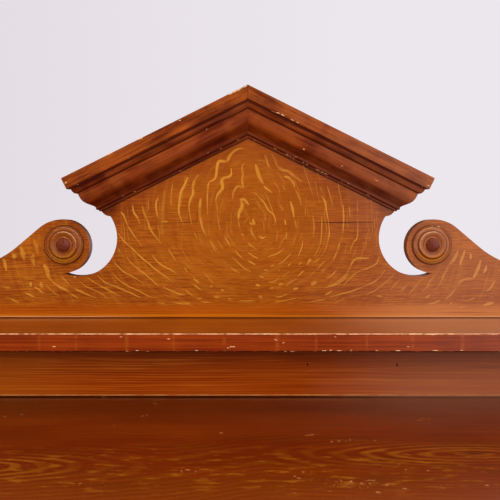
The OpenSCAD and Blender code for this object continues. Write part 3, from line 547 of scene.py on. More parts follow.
# Rubbed places on the worktop: middle, half width, half depth in millimetres, and how much is bare
WORKTOP_RUBS = [(104, -112, 46, 15, 0.05), (60, -95, 34, 16, 0.0), (212, 114, 20, 12, 0.03), (116, 26, 52, 7, 0.03),
                (72, 48, 12, 7, 0.04), (-150, -112, 40, 12, 0.0), (-58, -76, 16, 9, 0.04), (128, -60, 36, 12, 0.0),
                (-10, -84, 60, 14, -0.02), (-215, -60, 40, 10, -0.01), (180, -118, 46, 14, 0.0)]


def worktop_pine(name, chips=0.0):
    """The worktop: one wide plain-sawn face, so its rings run out in long points to both ends."""
    f = Finish(name)
    reach = f.x + 35
    side = f.step(reach, -60, 60)
    heart_y = f.blend(side, -64.0, -22.0)
    fall = f.most(f.size(reach) - 60, 0.0) * 0.285
    depth = 60 - fall
    waver = (f.noise(f.x / 130, f.y / 46, 7.0) - 0.5) * 11
    across = f.y - heart_y
    rings = f.far(across, depth) + waver
    strength = f.noise(f.x / 90, f.y / 40, 5.0)
    close = f.step(f.size(across), 48, 22)
    ends = f.step(f.size(reach), 125, 165) * f.blend(f.step(f.size(reach), 400, 280), 0.35, 1.0)
    pale = f.near(f.part(rings / RING_WIDTH), 0.5, 0.1, 0.2) * f.step(strength, 0.25, 0.55)
    pale = pale * f.blend(close, 0.12, f.blend(ends, 0.14, 0.55))
    comb = lines(f, "x", 190, 4.0, 4.0)
    fine = lines(f, "x", 60, 1.2, 6.0)
    cloud = f.noise(f.x / 170, f.y / 60, 2.0, 3.0, 0.6)
    warm = f.mixed(0.5, (comb, 1.3), (fine, 0.6), (cloud, 1.1))
    f.colour = f.tint(warm, WORKTOP_DEEP, WORKTOP_RED)
    worn = f.step(f.y + (cloud - 0.5) * 190 + (comb - 0.5) * 60, 10, -130)
    f.lay(WORKTOP_BROWN, worn * 0.4)
    f.lay(WORKTOP_GOLD, pale)
    knot = f.far((f.x - 236) / 3.742, f.y + 20)
    f.lay(WORKTOP_DEEP, f.step(knot + waver * 0.4, 7, 2) * 0.7)
    rub = f.noise(f.x / 26, f.y / 9, 9.0, 3.0, 0.6)
    band = f.near(f.y, -70, 40, 50)
    f.lay(WORKTOP_GOLD, f.step(rub, 0.54, 0.68) * band * 0.6)
    scratch = f.noise((f.x + f.y * 0.4) / 16, (f.y - f.x * 0.06) / 0.8, 12.0, 1.0)
    patch = f.noise(f.x / 60, f.y / 60, 15.0, 1.0)
    f.lay(CHIP_DARK, f.step(scratch, 0.74, 0.8) * f.step(patch, 0.5, 0.66) * 0.5)
    scuff = f.noise(f.x / 3.4, f.y / 3.0, 17.0, 3.0, 0.6)
    for across, deep, wide, long, share in WORKTOP_RUBS:
        spot = f.far((f.x - across) / wide, (f.y - deep) / long)
        bare = f.step(scuff - spot * 0.1, 0.57 - share, 0.64 - share) * f.step(spot, 1.3, 0.5)
        f.lay(SCUFF, bare * 0.8)
    # Painted sheen at the back of the right-hand end
    f.lay(PAINTED_SHEEN, painted_sheen(f) * f.step(f.y, 120, 200) * 0.3)
    bare_behind(f)
    if chips:
        f.lay(WORKTOP_GOLD, 0.3)
    chipped(f, chips)
    return f.coat(0.4 + (cloud - 0.5) * 0.2, comb + fine, 0.07, 0.75)


def roundel_pine(name, node, chips=0.0):
    """A turned roundel: the same warm wood as the boards, dark in its grooves, and pale on its rings where worn, with
    a painted highlight towards their upper, inner side.
    """
    f = Finish(name)
    centre = (low(node) + high(node)) / 2
    across = f.x - centre.x * 1000
    up = f.z - centre.z * 1000
    reach = f.far(across, up) + 0.01
    inward = across / reach * (-1.0 if centre.x > 0 else 1.0)
    relief = combed_ground(f, "x", 11.0)
    f.lay(ROUNDEL, 0.55)
    # Painted sheen towards the right
    f.lay(PAINTED_SHEEN, painted_sheen(f) * 0.26)
    f.lay(ROUNDEL_GOLD, f.step(up / reach, -0.3, -0.95) * f.near(reach, 20, 3, 3) * 0.7)
    wear = f.noise(across / reach * 1.9, up / reach * 1.9, reach / 5, 3.0)
    # Where the pale rings get a painted highlight: towards the top and the inner side, broken up by wear
    lit = f.limit(0.35 + up / reach * 0.4 + inward * 0.3 + (wear - 0.5) * 1.6)
    pale = f.most(f.near(reach, 17.1, 0.2, 0.5), f.near(reach, 22.8, 0.2, 0.6) * 0.6,
                  f.near(reach, 10.4, 0.1, 0.5) * 0.6)
    dark = f.most(f.near(reach, 25.9, 0.7, 0.7), f.near(reach, 18.9, 0.3, 0.8), f.near(reach, 11.8, 0.2, 0.7) * 0.7)
    f.lay(GROOVE, dark * 0.8)
    f.lay(RING_WEAR_AND_HIGHLIGHT, pale * f.step(lit, 0.3, 0.85) * 0.8)
    speck = f.noise(f.x / 2.2, 0.0, f.z / 1.5)
    button = f.tint(f.step(speck, 0.3, 0.75), BUTTON_DEEP, BUTTON)
    f.lay(button, f.step(reach, 9.9, 9.0))
    chipped(f, chips)
    return f.coat(0.4, relief, 0.08, 0.6)


# The nails that hold the back boards: their heights, and how far in from a board's edge, in millimetres
NAIL_ROWS = (119, 470, 862)
NAIL_INSET = 15


def bare_pine(name, along, seed, boards):
    """Unpainted pine, darkened with age. boards is how many stand side by side, or 0 for one piece."""
    f = Finish(name)
    comb = lines(f, along, 180, 6, seed)
    fine = lines(f, along, 60, 1.2, seed + 4)
    tone = 0.55
    if boards:
        start, end = low("back_boards").x * 1000, high("back_boards").x * 1000
        count = (f.x - start) * (boards / (end - start))
        board = f.sum("FLOOR", count)
        tone = 0.3 + f.noise(board * 3.7, 0.0, 0.0, 0.0) * 0.6
        comb = f.noise(f.x / 5 + board * 9.1, f.y / 6, f.z / 200 + board * 4.3, 3.0, 0.55)
    warm = f.mixed(tone, (comb, 2.4), (fine, 0.8), (clouds(f, 160, seed), 1.0))
    f.colour = f.tint(warm, BARE_DARK, BARE)
    if boards:
        joint = f.near(count - board, 0.5, 0.492, 0.004)
        f.lay(BOARD_GAP, (1 - joint) * 0.85)
        wide = (end - start) / boards
        inset = wide / 2 - f.size(count - board - 0.5) * wide - NAIL_INSET
        behind = f.step(f.y, high("back_boards").y * 1000 - 1.0, high("back_boards").y * 1000 - 0.5)
        for level in NAIL_ROWS:
            head = f.step(f.far(inset, f.z - level), 3.0, 2.3)
            f.lay(NAIL_HEAD, head * behind)
    return f.coat(0.62 + (fine - 0.5) * 0.2, comb + fine, 0.15)


def metal(name, bright, dark, roughness):
    f = Finish(name)
    stain = clouds(f, 9, detail=4.0)
    f.colour = f.tint(f.step(stain, 0.35, 0.65), dark, bright)
    return f.coat(roughness + (stain - 0.5) * 0.3, stain, 0.05, metal=1.0)


def bare_wood(name, size, dark, pale, roughness):
    """Wood where the varnish has been knocked off, with specks of the given size."""
    f = Finish(name)
    speck = clouds(f, size)
    f.colour = f.tint(f.step(speck, 0.35, 0.65), dark, pale)
    return f.coat(roughness, speck, 0.1)


def scuffed_wood(name):
    """Darker and dirtier than a fresh chip."""
    return bare_wood(name, 2.2, SCUFF_DEEP, SCUFF_PALE, 0.6)


def dark_mark(name):
    """A crack, or a nail hole with dark filling."""
    f = Finish(name)
    speck = clouds(f, 3)
    f.colour = f.tint(speck, DARK_CRACK_AND_SHADE, FILLING)
    return f.coat(0.6, speck, 0.1)


# Pieces

BACK_BOARDS = 8                                         # how many boards the back is made of
EDGE_WEAR, HARD_WEAR, CROWN_WEAR = 0.12, 0.16, 0.11     # how much is chipped off the eased edges
UPRIGHT = ("frame_muntin", "back_boards", "back_cleats", "partition", "door_left_panel", "door_right_panel")


def grain_of(node):
    """The axis that a board's grain runs along: its longest side, or upright on a door stile."""
    if "stile" in node or node.startswith("end_") or node in UPRIGHT:
        return "z"
    if node in ("drawer_runners", "drawer_guides", "drawer_kickers", "shelf_bearers") or "sides" in node:
        return "y"
    return "x"


def figure_heart(node):
    """Where the rings of a front's figure start, in millimetres, a little off its middle."""
    across, _, up = (place * 1000 for place in (low(node) + high(node)) / 2)
    return (across + (18 if across < 0 else -14), up + (22 if "panel" in node else 6))


def seed_of(node):
    """A number from a node's name, which shifts the grain from board to board."""
    return sum(ord(letter) for letter in node) % 40


def finish_of(node):
    """The finish of a node and the worn one of its edges."""
    slot = SLOT[node]
    along = grain_of(node)
    seed = seed_of(node)
    special = {"gallery_shelf": shelf_pine, "upstand_board": upstand_pine, "worktop": worktop_pine}
    if node in special:
        return (special[node](node + "_face"), special[node](node + "_edge", HARD_WEAR))
    if node.startswith("crown"):
        return (crown_pine(node + "_face"), crown_pine(node + "_edge", CROWN_WEAR))
    if node.startswith("roundel"):
        return (roundel_pine(node + "_face", node), roundel_pine(node + "_edge", node, EDGE_WEAR))
    if node.startswith("gallery_board"):
        return (gallery_grain(node + "_face"), gallery_grain(node + "_edge", EDGE_WEAR))
    if slot == "grained_pine":
        heart = figure_heart(node) if "panel" in node or node.endswith("_front") else None
        inside = node in ("end_left", "end_right")
        return (grained(node + "_grain", along, seed, heart=heart, inside=inside),
                grained(node + "_edge", along, seed, EDGE_WEAR, inside=inside))
    if slot == "dark_pine":
        return (dark_pine(node + "_varnish", along, seed), dark_pine(node + "_edge", along, seed, EDGE_WEAR))
    if slot == "bare_pine":
        bare = bare_pine(node + "_bare", along, seed, BACK_BOARDS if node == "back_boards" else 0)
        return (bare, bare)
    if slot == "iron":
        iron = metal(node + "_iron", IRON, IRON_DEEP, 0.5)
        return (iron, iron)
    brass = metal(node + "_brass", BRASS, BRASS_DEEP, 0.32)
    return (brass, brass)


# How far the edges are eased, in metres: by finish, and for the nodes that differ from it
EASE = {"grained_pine": 0.0009, "dark_pine": 0.0008, "worktop_pine": 0.001, "bare_pine": 0.0008,
        "iron": 0.0003, "brass": 0.0003}
OWN_EASE = {"crown_left": 0.0004, "crown_right": 0.0004, "crown_returns": 0.0004, "roundel_left": 0.0004,
            "roundel_right": 0.0004, "gallery_shelf": 0.0013}
SHARP = math.radians(32)                       # corners past this are eased
NEARLY_FLAT = math.radians(0.5)                # faces within this of each other become one
WELD = 0.00001
DRESSED = {}


def mesh_from(name, shape):
    mesh = bpy.data.meshes.new(name)
    shape.to_mesh(mesh)
    shape.free()
    return mesh


def in_scene(name, data):
    thing = bpy.data.objects.new(name, data)
    bpy.context.scene.collection.objects.link(thing)
    return thing


def stays_square(node, edge):
    """Whether an edge meets another board flush, and so keeps its corner."""
    if node in ("end_left", "end_right"):
        return all(abs(vert.co.x) < INSIDE + 0.015 for vert in edge.verts)
    return node.startswith("gallery_board") and all(abs(vert.co.z - JOINT) < 0.0002 for vert in edge.verts)


def dress(node):
    """A copy of a node's board with clean faces and eased edges, which stands for the node."""
    mesh = frame["nodes"][node].data.copy()
    shape = bmesh.new()
    shape.from_mesh(mesh)
    bmesh.ops.remove_doubles(shape, verts=shape.verts, dist=WELD)
    bmesh.ops.dissolve_limit(shape, angle_limit=NEARLY_FLAT, verts=shape.verts, edges=shape.edges)
    weight = shape.edges.layers.float.new("bevel_weight_edge")
    for edge in shape.edges:
        if edge.is_manifold and edge.calc_face_angle() > SHARP and not stays_square(node, edge):
            edge[weight] = 1.0
    shape.to_mesh(mesh)
    shape.free()
    mesh.materials.clear()
    for material in finish_of(node):
        mesh.materials.append(material)
    mesh.polygons.foreach_set("material_index", [0] * len(mesh.polygons))
    mesh.polygons.foreach_set("use_smooth", [True] * len(mesh.polygons))
    mesh.set_sharp_from_angle(angle=SHARP)
    piece = in_scene("dressed_" + node, mesh)
    bevel = piece.modifiers.new("eased_edges", "BEVEL")
    bevel.width = OWN_EASE.get(node, EASE[SLOT[node]])
    bevel.segments = 2
    bevel.limit_method = "WEIGHT"
    bevel.material = 1
    bevel.harden_normals = False
    bevel.use_clamp_overlap = True
    weighted = piece.modifiers.new("flat_faces", "WEIGHTED_NORMAL")
    weighted.keep_sharp = True
    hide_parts(node)
    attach(piece, BODY[node])
    DRESSED[node] = piece


for node in sorted(SLOT):
    dress(node)

bpy.context.view_layer.update()
SEEN = bpy.context.evaluated_depsgraph_get()
SKIN = {}


def touch(node, start, way):
    """Where a straight line first meets a dressed board, and which way its face looks there."""
    if node not in SKIN:
        SKIN[node] = BVHTree.FromObject(DRESSED[node], SEEN)
    place, face, _, _ = SKIN[node].ray_cast(Vector(start), Vector(way))
    return place, face


def new_piece(name, shape, material, body):
    piece = in_scene(name, mesh_from(name, shape))
    piece.data.materials.append(material)
    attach(piece, body)


# The grainer's flakes

PROUD = 0.00008          # how far the nearest strip stands off its board
FAINT_PROUD = 0.00002
STAGGER = 0.00001        # from one strip to the next
SUNK = 0.0005            # how deep a strip's back lies in the board
SPREAD = 1.35            # a strip is this much wider than its stroke, because its edges melt away
FLAT = 0.00005           # a board's face is flat where it lies within this of its plane
FAINT_LOW, FAINT_WIDE = 0.085, 0.185       # faint flakes lie above the one and within the other
OUTER, OUTER_SPREAD = 0.24, 1.35           # strokes that start beyond the scrolls are wider
CURVE_STEPS = 4


def curve_through(points):
    """A smooth line through the points."""
    padded = [points[0] * 2 - points[1]] + points + [points[-1] * 2 - points[-2]]
    curve = []
    for before, start, end, after in zip(padded, padded[1:], padded[2:], padded[3:]):
        for step in range(CURVE_STEPS):
            t = step / CURVE_STEPS
            curve.append(0.5 * (2 * start + (end - before) * t + (2 * before - 5 * start + 4 * end - after) * t * t
                                + (3 * start - before - 3 * end + after) * t * t * t))
    curve.append(points[-1])
    return curve


def add_strip(shape, line, wide_start, wide_end, force, face, proud):
    """One closed strip along a line on an upright face that looks to the front."""
    across = shape.verts.layers.float["across"]
    strength = shape.verts.layers.float["force"]
    last = len(line) - 1
    rows = []
    for index, spot in enumerate(line):
        ahead = line[min(index + 1, last)] - line[max(index - 1, 0)]
        side = Vector((-ahead.y, ahead.x)).normalized()
        share = index / last
        taper = math.sin(math.pi * (0.05 + 0.9 * share)) ** 0.6
        half = side * (wide_start + (wide_end - wide_start) * share) / 2 * SPREAD * taper
        row = []
        for sign, depth in ((1, -proud), (-1, -proud), (-1, SUNK), (1, SUNK)):
            vert = shape.verts.new((spot.x + sign * half.x, face + depth, spot.y + sign * half.y))
            vert[across] = sign
            vert[strength] = force
            row.append(vert)
        rows.append(row)
    for first, second in zip(rows, rows[1:]):
        for side in range(4):
            shape.faces.new((first[side], first[(side + 1) % 4], second[(side + 1) % 4], second[side]))
    shape.faces.new(rows[0][::-1])
    shape.faces.new(rows[-1])


def lay_flakes(name, strokes, nodes, finish, proud=PROUD, depths=13):
    """Strips along the strokes, each kept to where the boards behind it have a flat face.

    Strips that may cross lie at different depths."""
    shape = bmesh.new()
    shape.verts.layers.float.new("across")
    shape.verts.layers.float.new("force")
    face = low(nodes[0]).y
    for number, (wide_start, wide_end, points, force) in enumerate(strokes):
        line = []
        for spot in curve_through(points):
            hits = [touch(node, (spot.x, face - 0.05, spot.y), (0, 1, 0))[0] for node in nodes]
            if not any(hit and abs(hit.y - face) < FLAT for hit in hits):
                break
            line.append(spot)
        if len(line) > 3:
            add_strip(shape, line, wide_start, wide_end, force, face, proud + number % depths * STAGGER)
    new_piece(name, shape, finish, BODY[nodes[0]])


# Flakes on the gallery, read off: width at the start and the end in tenths of a millimetre,
# then places along the middle, in millimetres across and above the shelf
FLAKES = [
    (39, 16, -119, 162, -122, 154, -122, 146, -120, 136, -116, 130), (32, 26, -116, 129, -111, 129, -106, 129),
    (20, 16, -100, 178, -102, 163, -102, 149),
    (52, 20, -80, 188, -84, 178, -89, 168, -91, 156, -92, 143, -89, 132, -86, 125),
    (46, 20, -65, 191, -70, 185, -73, 176, -73, 166, -76, 160, -78, 153, -78, 143, -75, 126),
    (58, 20, -63, 160, -64, 148, -64, 136, -61, 122, -56, 110), (26, 20, -51, 104, -47, 97, -43, 89),
    (13, 13, -72, 115, -67, 105),
    (39, 46, -6, 226, -13, 225, -20, 221, -25, 215, -28, 209, -38, 209, -41, 202, -42, 193, -44, 186, -51, 182),
    (32, 16, -51, 182, -53, 176, -54, 163, -54, 149, -54, 138),
    (39, 52, -22, 200, -23, 190, -32, 187, -35, 182, -34, 173, -40, 166, -43, 158),
    (32, 20, -43, 158, -41, 146, -40, 132, -37, 117), (20, 39, -4, 207, -8, 202, -7, 192, -8, 183, -6, 173),
    (39, 20, -6, 174, -13, 176, -18, 171, -20, 165, -20, 156), (39, 39, -11, 158, -5, 158, 1, 151),
    (46, 52, -9, 157, -8, 149, -12, 141, -13, 132), (32, 13, -13, 132, -12, 125, -10, 119),
    (26, 26, -9, 113, -6, 110), (52, 52, 10, 205, 12, 197, 15, 188, 20, 179), (32, 26, 21, 176, 24, 173, 32, 167),
    (26, 26, 22, 217, 25, 210, 27, 201), (32, 52, 31, 219, 35, 212, 38, 204, 44, 198, 54, 195, 61, 189, 71, 182),
    (39, 39, 48, 189, 54, 187, 60, 180, 62, 174), (20, 20, 46, 178, 49, 170),
    (20, 32, 9, 168, 16, 160, 22, 153, 27, 144, 34, 138, 37, 127), (26, 20, 38, 121, 39, 112, 37, 102),
    (20, 26, 35, 94, 27, 92, 21, 93), (39, 32, 56, 156, 59, 146, 61, 134), (16, 16, 62, 132, 64, 121),
    (20, 16, 63, 171, 68, 161, 71, 149), (23, 23, 49, 132, 50, 124), (20, 20, 52, 115, 50, 105),
    (16, 16, 43, 151, 47, 143), (29, 29, 7, 133, 7, 129, 10, 126), (29, 29, 10, 126, 5, 126, 2, 128),
    (20, 20, 4, 122, 5, 114, 11, 105), (20, 20, 19, 131, 21, 124, 21, 117), (29, 29, 14, 110, 19, 107, 23, 109),
    (26, 20, 0, 100, 7, 95, 16, 88), (20, 20, 0, 88, 7, 83, 14, 80), (26, 20, 0, 77, 10, 71),
    (26, 20, -31, 110, -27, 102, -23, 95), (20, 20, -17, 91, -12, 84, -6, 80), (13, 13, -40, 104, -35, 95, -33, 92),
    (20, 20, -21, 82, -13, 74, -5, 67, 4, 62), (12, 12, -34, 80, -29, 73), (16, 23, -23, 68, -18, 64, -11, 60),
    (23, 16, 26, 82, 36, 85, 43, 89, 48, 93), (26, 26, 30, 69, 35, 71), (13, 16, 39, 71, 48, 77, 58, 87),
    (26, 26, 21, 65, 27, 63), (16, 16, 39, 62, 43, 65), (20, 20, 53, 70, 57, 73), (26, 26, 16, 56, 21, 54),
    (20, 20, 46, 55, 56, 63), (20, 20, 67, 71, 71, 75), (29, 26, 78, 71, 85, 79), (20, 20, 88, 74, 97, 81),
    (34, 34, 10, 45, 16, 43), (29, 21, 27, 49, 34, 49, 43, 54), (16, 16, 50, 43, 58, 49, 65, 52),
    (16, 16, 66, 56, 75, 64), (20, 20, 92, 65, 97, 71, 103, 77), (16, 16, 98, 62, 104, 68), (34, 34, 29, 40, 34, 40),
    (29, 29, 41, 45, 47, 46), (13, 13, 71, 50, 82, 56, 90, 63), (44, 44, 14, 30, 17, 28, 19, 27),
    (21, 21, 37, 28, 44, 29, 53, 32), (34, 34, 60, 39, 67, 40), (57, 57, 84, 45, 92, 48),
    (14, 13, 37, 21, 56, 25, 71, 28), (14, 13, 80, 21, 92, 23, 104, 26), (20, 20, 104, 31, 112, 36),
    (20, 23, 103, 41, 115, 44, 127, 51, 135, 61), (13, 13, 115, 21, 126, 25), (13, 16, -12, 24, -1, 23, 10, 23),
    (44, 44, -45, 29, -39, 27), (29, 29, -27, 26, -22, 26), (20, 20, -63, 22, -49, 21), (20, 20, -67, 26, -62, 26),
    (20, 20, -96, 20, -77, 20), (13, 13, -122, 21, -110, 19), (26, 26, -36, 38, -32, 37), (29, 29, -51, 43, -47, 42),
    (13, 13, -59, 61, -52, 53, -45, 45), (26, 26, -73, 45, -62, 37), (23, 23, -73, 53, -65, 47),
    (21, 21, -84, 38, -73, 29), (18, 18, -85, 68, -81, 62), (29, 23, -128, 85, -120, 75, -110, 68, -100, 63, -89, 53),
    (21, 21, -130, 70, -122, 63, -112, 57, -100, 47), (23, 18, -106, 93, -101, 84, -96, 77),
    (13, 13, 76, 149, 76, 136), (20, 13, 86, 136, 88, 122, 86, 107),
    (26, 13, 98, 136, 98, 122, 97, 104, 93, 92, 88, 82), (36, 21, 97, 163, 102, 156, 104, 143, 107, 129),
    (21, 13, 107, 129, 108, 115, 106, 102, 102, 90, 97, 82), (20, 16, 105, 176, 109, 163, 112, 149),
    (13, 13, 95, 176, 98, 168), (16, 16, 73, 104, 71, 93, 66, 83), (16, 16, 122, 100, 119, 90, 114, 80),
    (26, 23, 126, 152, 127, 134, 126, 113), (13, 13, 134, 150, 136, 134),
    (16, 20, 146, 134, 146, 121, 145, 107, 140, 101, 135, 86), (13, 13, 168, 133, 168, 120),
    (21, 31, 176, 99, 169, 92, 161, 81),
    (34, 16, 161, 81, 155, 80, 145, 80, 139, 75, 134, 64, 126, 54, 114, 46, 103, 41),
    (26, 20, 175, 83, 171, 73, 159, 67, 146, 62, 137, 54, 127, 44),
    (21, 16, 183, 65, 175, 54, 163, 46, 146, 39, 134, 35, 119, 31, 109, 28),
    (21, 16, 196, 60, 187, 51, 175, 41, 163, 34, 150, 31, 134, 28), (13, 13, 130, 27, 124, 24, 116, 20),
    (16, 16, 121, 101, 118, 88, 113, 76), (13, 13, 130, 97, 130, 86), (16, 16, 118, 64, 111, 57, 105, 54),
    (26, 26, 83, 80, 79, 72), (16, 16, 72, 75, 68, 72), (16, 16, 106, 70, 101, 64), (29, 29, 103, 31, 107, 33),
    (13, 13, 214, 46, 208, 39, 203, 36), (13, 13, 36, 22, 50, 23, 64, 27),
    (31, 26, -153, 151, -152, 142, -147, 134, -144, 126),
    (44, 20, -140, 150, -138, 140, -133, 129, -130, 119, -123, 109, -115, 99), (16, 13, -132, 158, -132, 143),
    (31, 18, -169, 142, -165, 137, -160, 124, -152, 111, -141, 96),
    (23, 23, -173, 114, -165, 103, -154, 93, -143, 82, -131, 72, -122, 64, -110, 56, -99, 47),
    (12, 12, -173, 94, -170, 87), (23, 26, -162, 82, -154, 72, -144, 64, -135, 57, -125, 48, -120, 44),
    (23, 21, -180, 77, -172, 68, -164, 61, -151, 54, -138, 45), (18, 26, -114, 42, -101, 36, -91, 32, -84, 31),
    (18, 18, -181, 61, -172, 51, -160, 43, -149, 38, -136, 31, -127, 27),
    (21, 29, -201, 58, -191, 48, -176, 42, -160, 35, -143, 27),
    (21, 23, -215, 55, -202, 46, -189, 39, -180, 34, -170, 29),
    (16, 16, -226, 51, -217, 43, -204, 37, -193, 31, -185, 23), (13, 13, -117, 33, -106, 29),
    (20, 20, -98, 21, -88, 19, -77, 19), (13, 13, -123, 21, -110, 19), (39, 26, -326, 80, -324, 72, -322, 63),
    (52, 52, -312, 86, -311, 80), (46, 52, -303, 96, -301, 90, -299, 83, -298, 78),
    (32, 46, -285, 106, -283, 100, -281, 93, -280, 86), (46, 26, -285, 86, -287, 81, -286, 75, -285, 70),
    (58, 29, -272, 72, -268, 64, -267, 57, -261, 49), (31, 18, -261, 49, -252, 42, -242, 37, -234, 31, -226, 26),
    (46, 39, -276, 48, -276, 41), (29, 26, -290, 49, -290, 42), (21, 21, -285, 42, -279, 38, -273, 33),
    (13, 13, -270, 45, -262, 37, -252, 29), (23, 21, -329, 43, -323, 41, -318, 40),
    (23, 23, -297, 34, -291, 31, -285, 28), (17, 17, -324, 28, -315, 25, -306, 20),
    (20, 17, -248, 56, -241, 47, -232, 40, -224, 36, -213, 31, -203, 27),
    (26, 39, 280, 91, 277, 84, 273, 77, 268, 72), (31, 18, 268, 72, 264, 64, 260, 56, 256, 46, 250, 38),
    (32, 26, 289, 91, 286, 83, 283, 75, 283, 70), (32, 39, 310, 78, 307, 68, 303, 59, 300, 53),
    (32, 18, 300, 53, 292, 53, 284, 50, 280, 46, 275, 37, 270, 31, 263, 26), (29, 23, 318, 71, 316, 64, 313, 60),
    (32, 32, 297, 86, 296, 79), (18, 18, 235, 55, 228, 48, 221, 40, 214, 31),
    (23, 18, 250, 58, 243, 50, 239, 42, 232, 36), (18, 18, 215, 47, 209, 42, 204, 38),
    (13, 13, 203, 52, 196, 45, 190, 38), (21, 21, 241, 19, 249, 20, 257, 24), (26, 26, 270, 19, 273, 20),
    (18, 18, 243, 31, 237, 27), (20, 18, 330, 50, 327, 46, 323, 40, 317, 36), (31, 31, 314, 17, 322, 19, 329, 21),
    (18, 18, 293, 24, 304, 27), (13, 13, 282, 14, 292, 16), (21, 21, 171, 30, 180, 29)]

dice = random.Random(5)
gallery_strokes = []
for wide_start, wide_end, *places in FLAKES:
    points = [Vector((places[at] / 1000, SHELF_TOP + places[at + 1] / 1000)) for at in range(0, len(places), 2)]
    spread = OUTER_SPREAD if abs(points[0].x) > OUTER else 1.0
    gallery_strokes.append((wide_start / 10000 * spread, wide_end / 10000 * spread, points, dice.uniform(0.6, 0.95)))


# Rings in millimetres: the innermost radius, the height over the width above and below the heart,
# and the longest turn of one stroke
FIRST_RING, TALL_ABOVE, TALL_BELOW, LONGEST = 7.0, 1.6, 1.1, 1.6


def ring_strokes(heart, outside, seed, apart, widths, forces, share):
    """Flakes along egg-shaped rings round a heart, out to the given radius.

    They are long and shaky above the heart, and shorter below it. widths has a range for each.
    share is how many of the strokes are laid."""
    dice = random.Random(seed)
    strokes = []
    radius = FIRST_RING
    while radius < outside:
        turn = dice.uniform(0, 2 * math.pi)
        end = turn + 2 * math.pi - 6 / radius
        while turn < end:
            above = math.sin(turn) > -0.2
            reach = min((dice.uniform(12, 44) if above else dice.uniform(8, 34)) / radius, LONGEST)
            count = max(3, int(reach * radius / 7) + 1)
            shake = 1.6 if above else 0.7
            points = []
            for index in range(count):
                angle = turn + reach * index / (count - 1)
                lift = TALL_ABOVE if math.sin(angle) > 0 else TALL_BELOW
                points.append(Vector((
                    (heart[0] + radius * math.cos(angle) + dice.uniform(-shake, shake)) / 1000,
                    (heart[1] + radius * lift * math.sin(angle) + dice.uniform(-shake, shake)) / 1000)))
            if dice.random() < share:
                width = dice.uniform(*widths[0 if above else 1])
                strokes.append((width, width * dice.uniform(0.5, 1.3), points, dice.uniform(*forces)))
            turn += reach + dice.uniform(8, 34) / radius
        radius += dice.uniform(*apart)
    return strokes


GALLERY_BOARDS = ("gallery_board_lower", "gallery_board_upper")
gallery_flake = flaked("gallery_flake", gallery_colour)
lay_flakes("gallery_flakes", gallery_strokes, GALLERY_BOARDS, gallery_flake)
faint = ring_strokes(HEART, 340, 3, (5, 9), ((0.0009, 0.0017), (0.0008, 0.0013)), (0.3, 0.6), 0.42)
faint = [stroke for stroke in faint
         if all(spot.y > SHELF_TOP + FAINT_LOW and abs(spot.x) < FAINT_WIDE for spot in stroke[2])]
lay_flakes("gallery_faint_flakes", faint, GALLERY_BOARDS, gallery_flake, FAINT_PROUD, 5)

for node in ("drawer_left_front", "drawer_right_front", "door_left_panel", "door_right_panel"):
    wide, tall = ((high(node) - low(node)) * 1000).xz
    heart = figure_heart(node)
    seed = seed_of(node)
    along = grain_of(node)
    finish = flaked(node + "_flake", lambda f: combed_ground(f, along, seed, heart))
    strokes = ring_strokes(heart, math.hypot(wide, tall) * 0.75, seed, (10, 17),
                           ((0.0016, 0.0044), (0.001, 0.0026)), (0.6, 0.95), 0.66)
    lay_flakes(node + "_flakes", strokes, (node,), finish)


# Chips, scuffs and cracks

CHIP_CORNERS = 9
CHIP_TOP, CHIP_BOTTOM = 0.00026, -0.0004       # heights of a chip's two faces over its board, in metres
OVERHEAD, IN_FRONT = 2.0, -1.0                 # where the lines to a mark's place start


def add_chip(shape, place, face, along, long, wide):
    """A closed, ragged patch that lies on a face."""
    across = face.cross(along).normalized()
    along = across.cross(face).normalized()
    rims = []
    for lift in (CHIP_TOP, CHIP_BOTTOM):
        rim = []
        for painted_corner_shade in range(CHIP_CORNERS):
            angle = painted_corner_shade / CHIP_CORNERS * 2 * math.pi
            ragged = 0.5 * (1 + 0.3 * math.sin(2.7 * painted_corner_shade + long * 3000 + wide * 9000))
            spot = place + face * lift
            spot = spot + along * (long * ragged * math.cos(angle)) + across * (wide * ragged * math.sin(angle))
            rim.append(shape.verts.new(spot))
        rims.append(rim)
    shape.faces.new(rims[0])
    shape.faces.new(rims[1][::-1])
    for painted_corner_shade in range(CHIP_CORNERS):
        after = (painted_corner_shade + 1) % CHIP_CORNERS
        shape.faces.new((rims[0][painted_corner_shade], rims[1][painted_corner_shade], rims[1][after], rims[0][after]))


def lay_chips(name, chips, nodes, finish, from_above=False):
    """Marks on the first board that is met at each place, from the front or from above."""
    shape = bmesh.new()
    for across, up, long, wide, turn in chips:
        angle = math.radians(turn)
        if from_above:
            start, way = (across / 1000, up / 1000, OVERHEAD), (0, 0, -1)
            along = Vector((math.cos(angle), -math.sin(angle), 0))
        else:
            start, way = (across / 1000, IN_FRONT, (up + SHELF_MM) / 1000), (0, 1, 0)
            along = Vector((math.cos(angle), 0, -math.sin(angle)))
        found = [hit for hit in (touch(node, start, way) for node in nodes) if hit[0] is not None]
        if found:
            place, face = min(found, key=lambda hit: (hit[0] - Vector(start)).length)
            add_chip(shape, place, face, along, long / 1000, wide / 1000)
    bmesh.ops.recalc_face_normals(shape, faces=shape.faces)
    new_piece(name, shape, finish, BODY[nodes[0]])


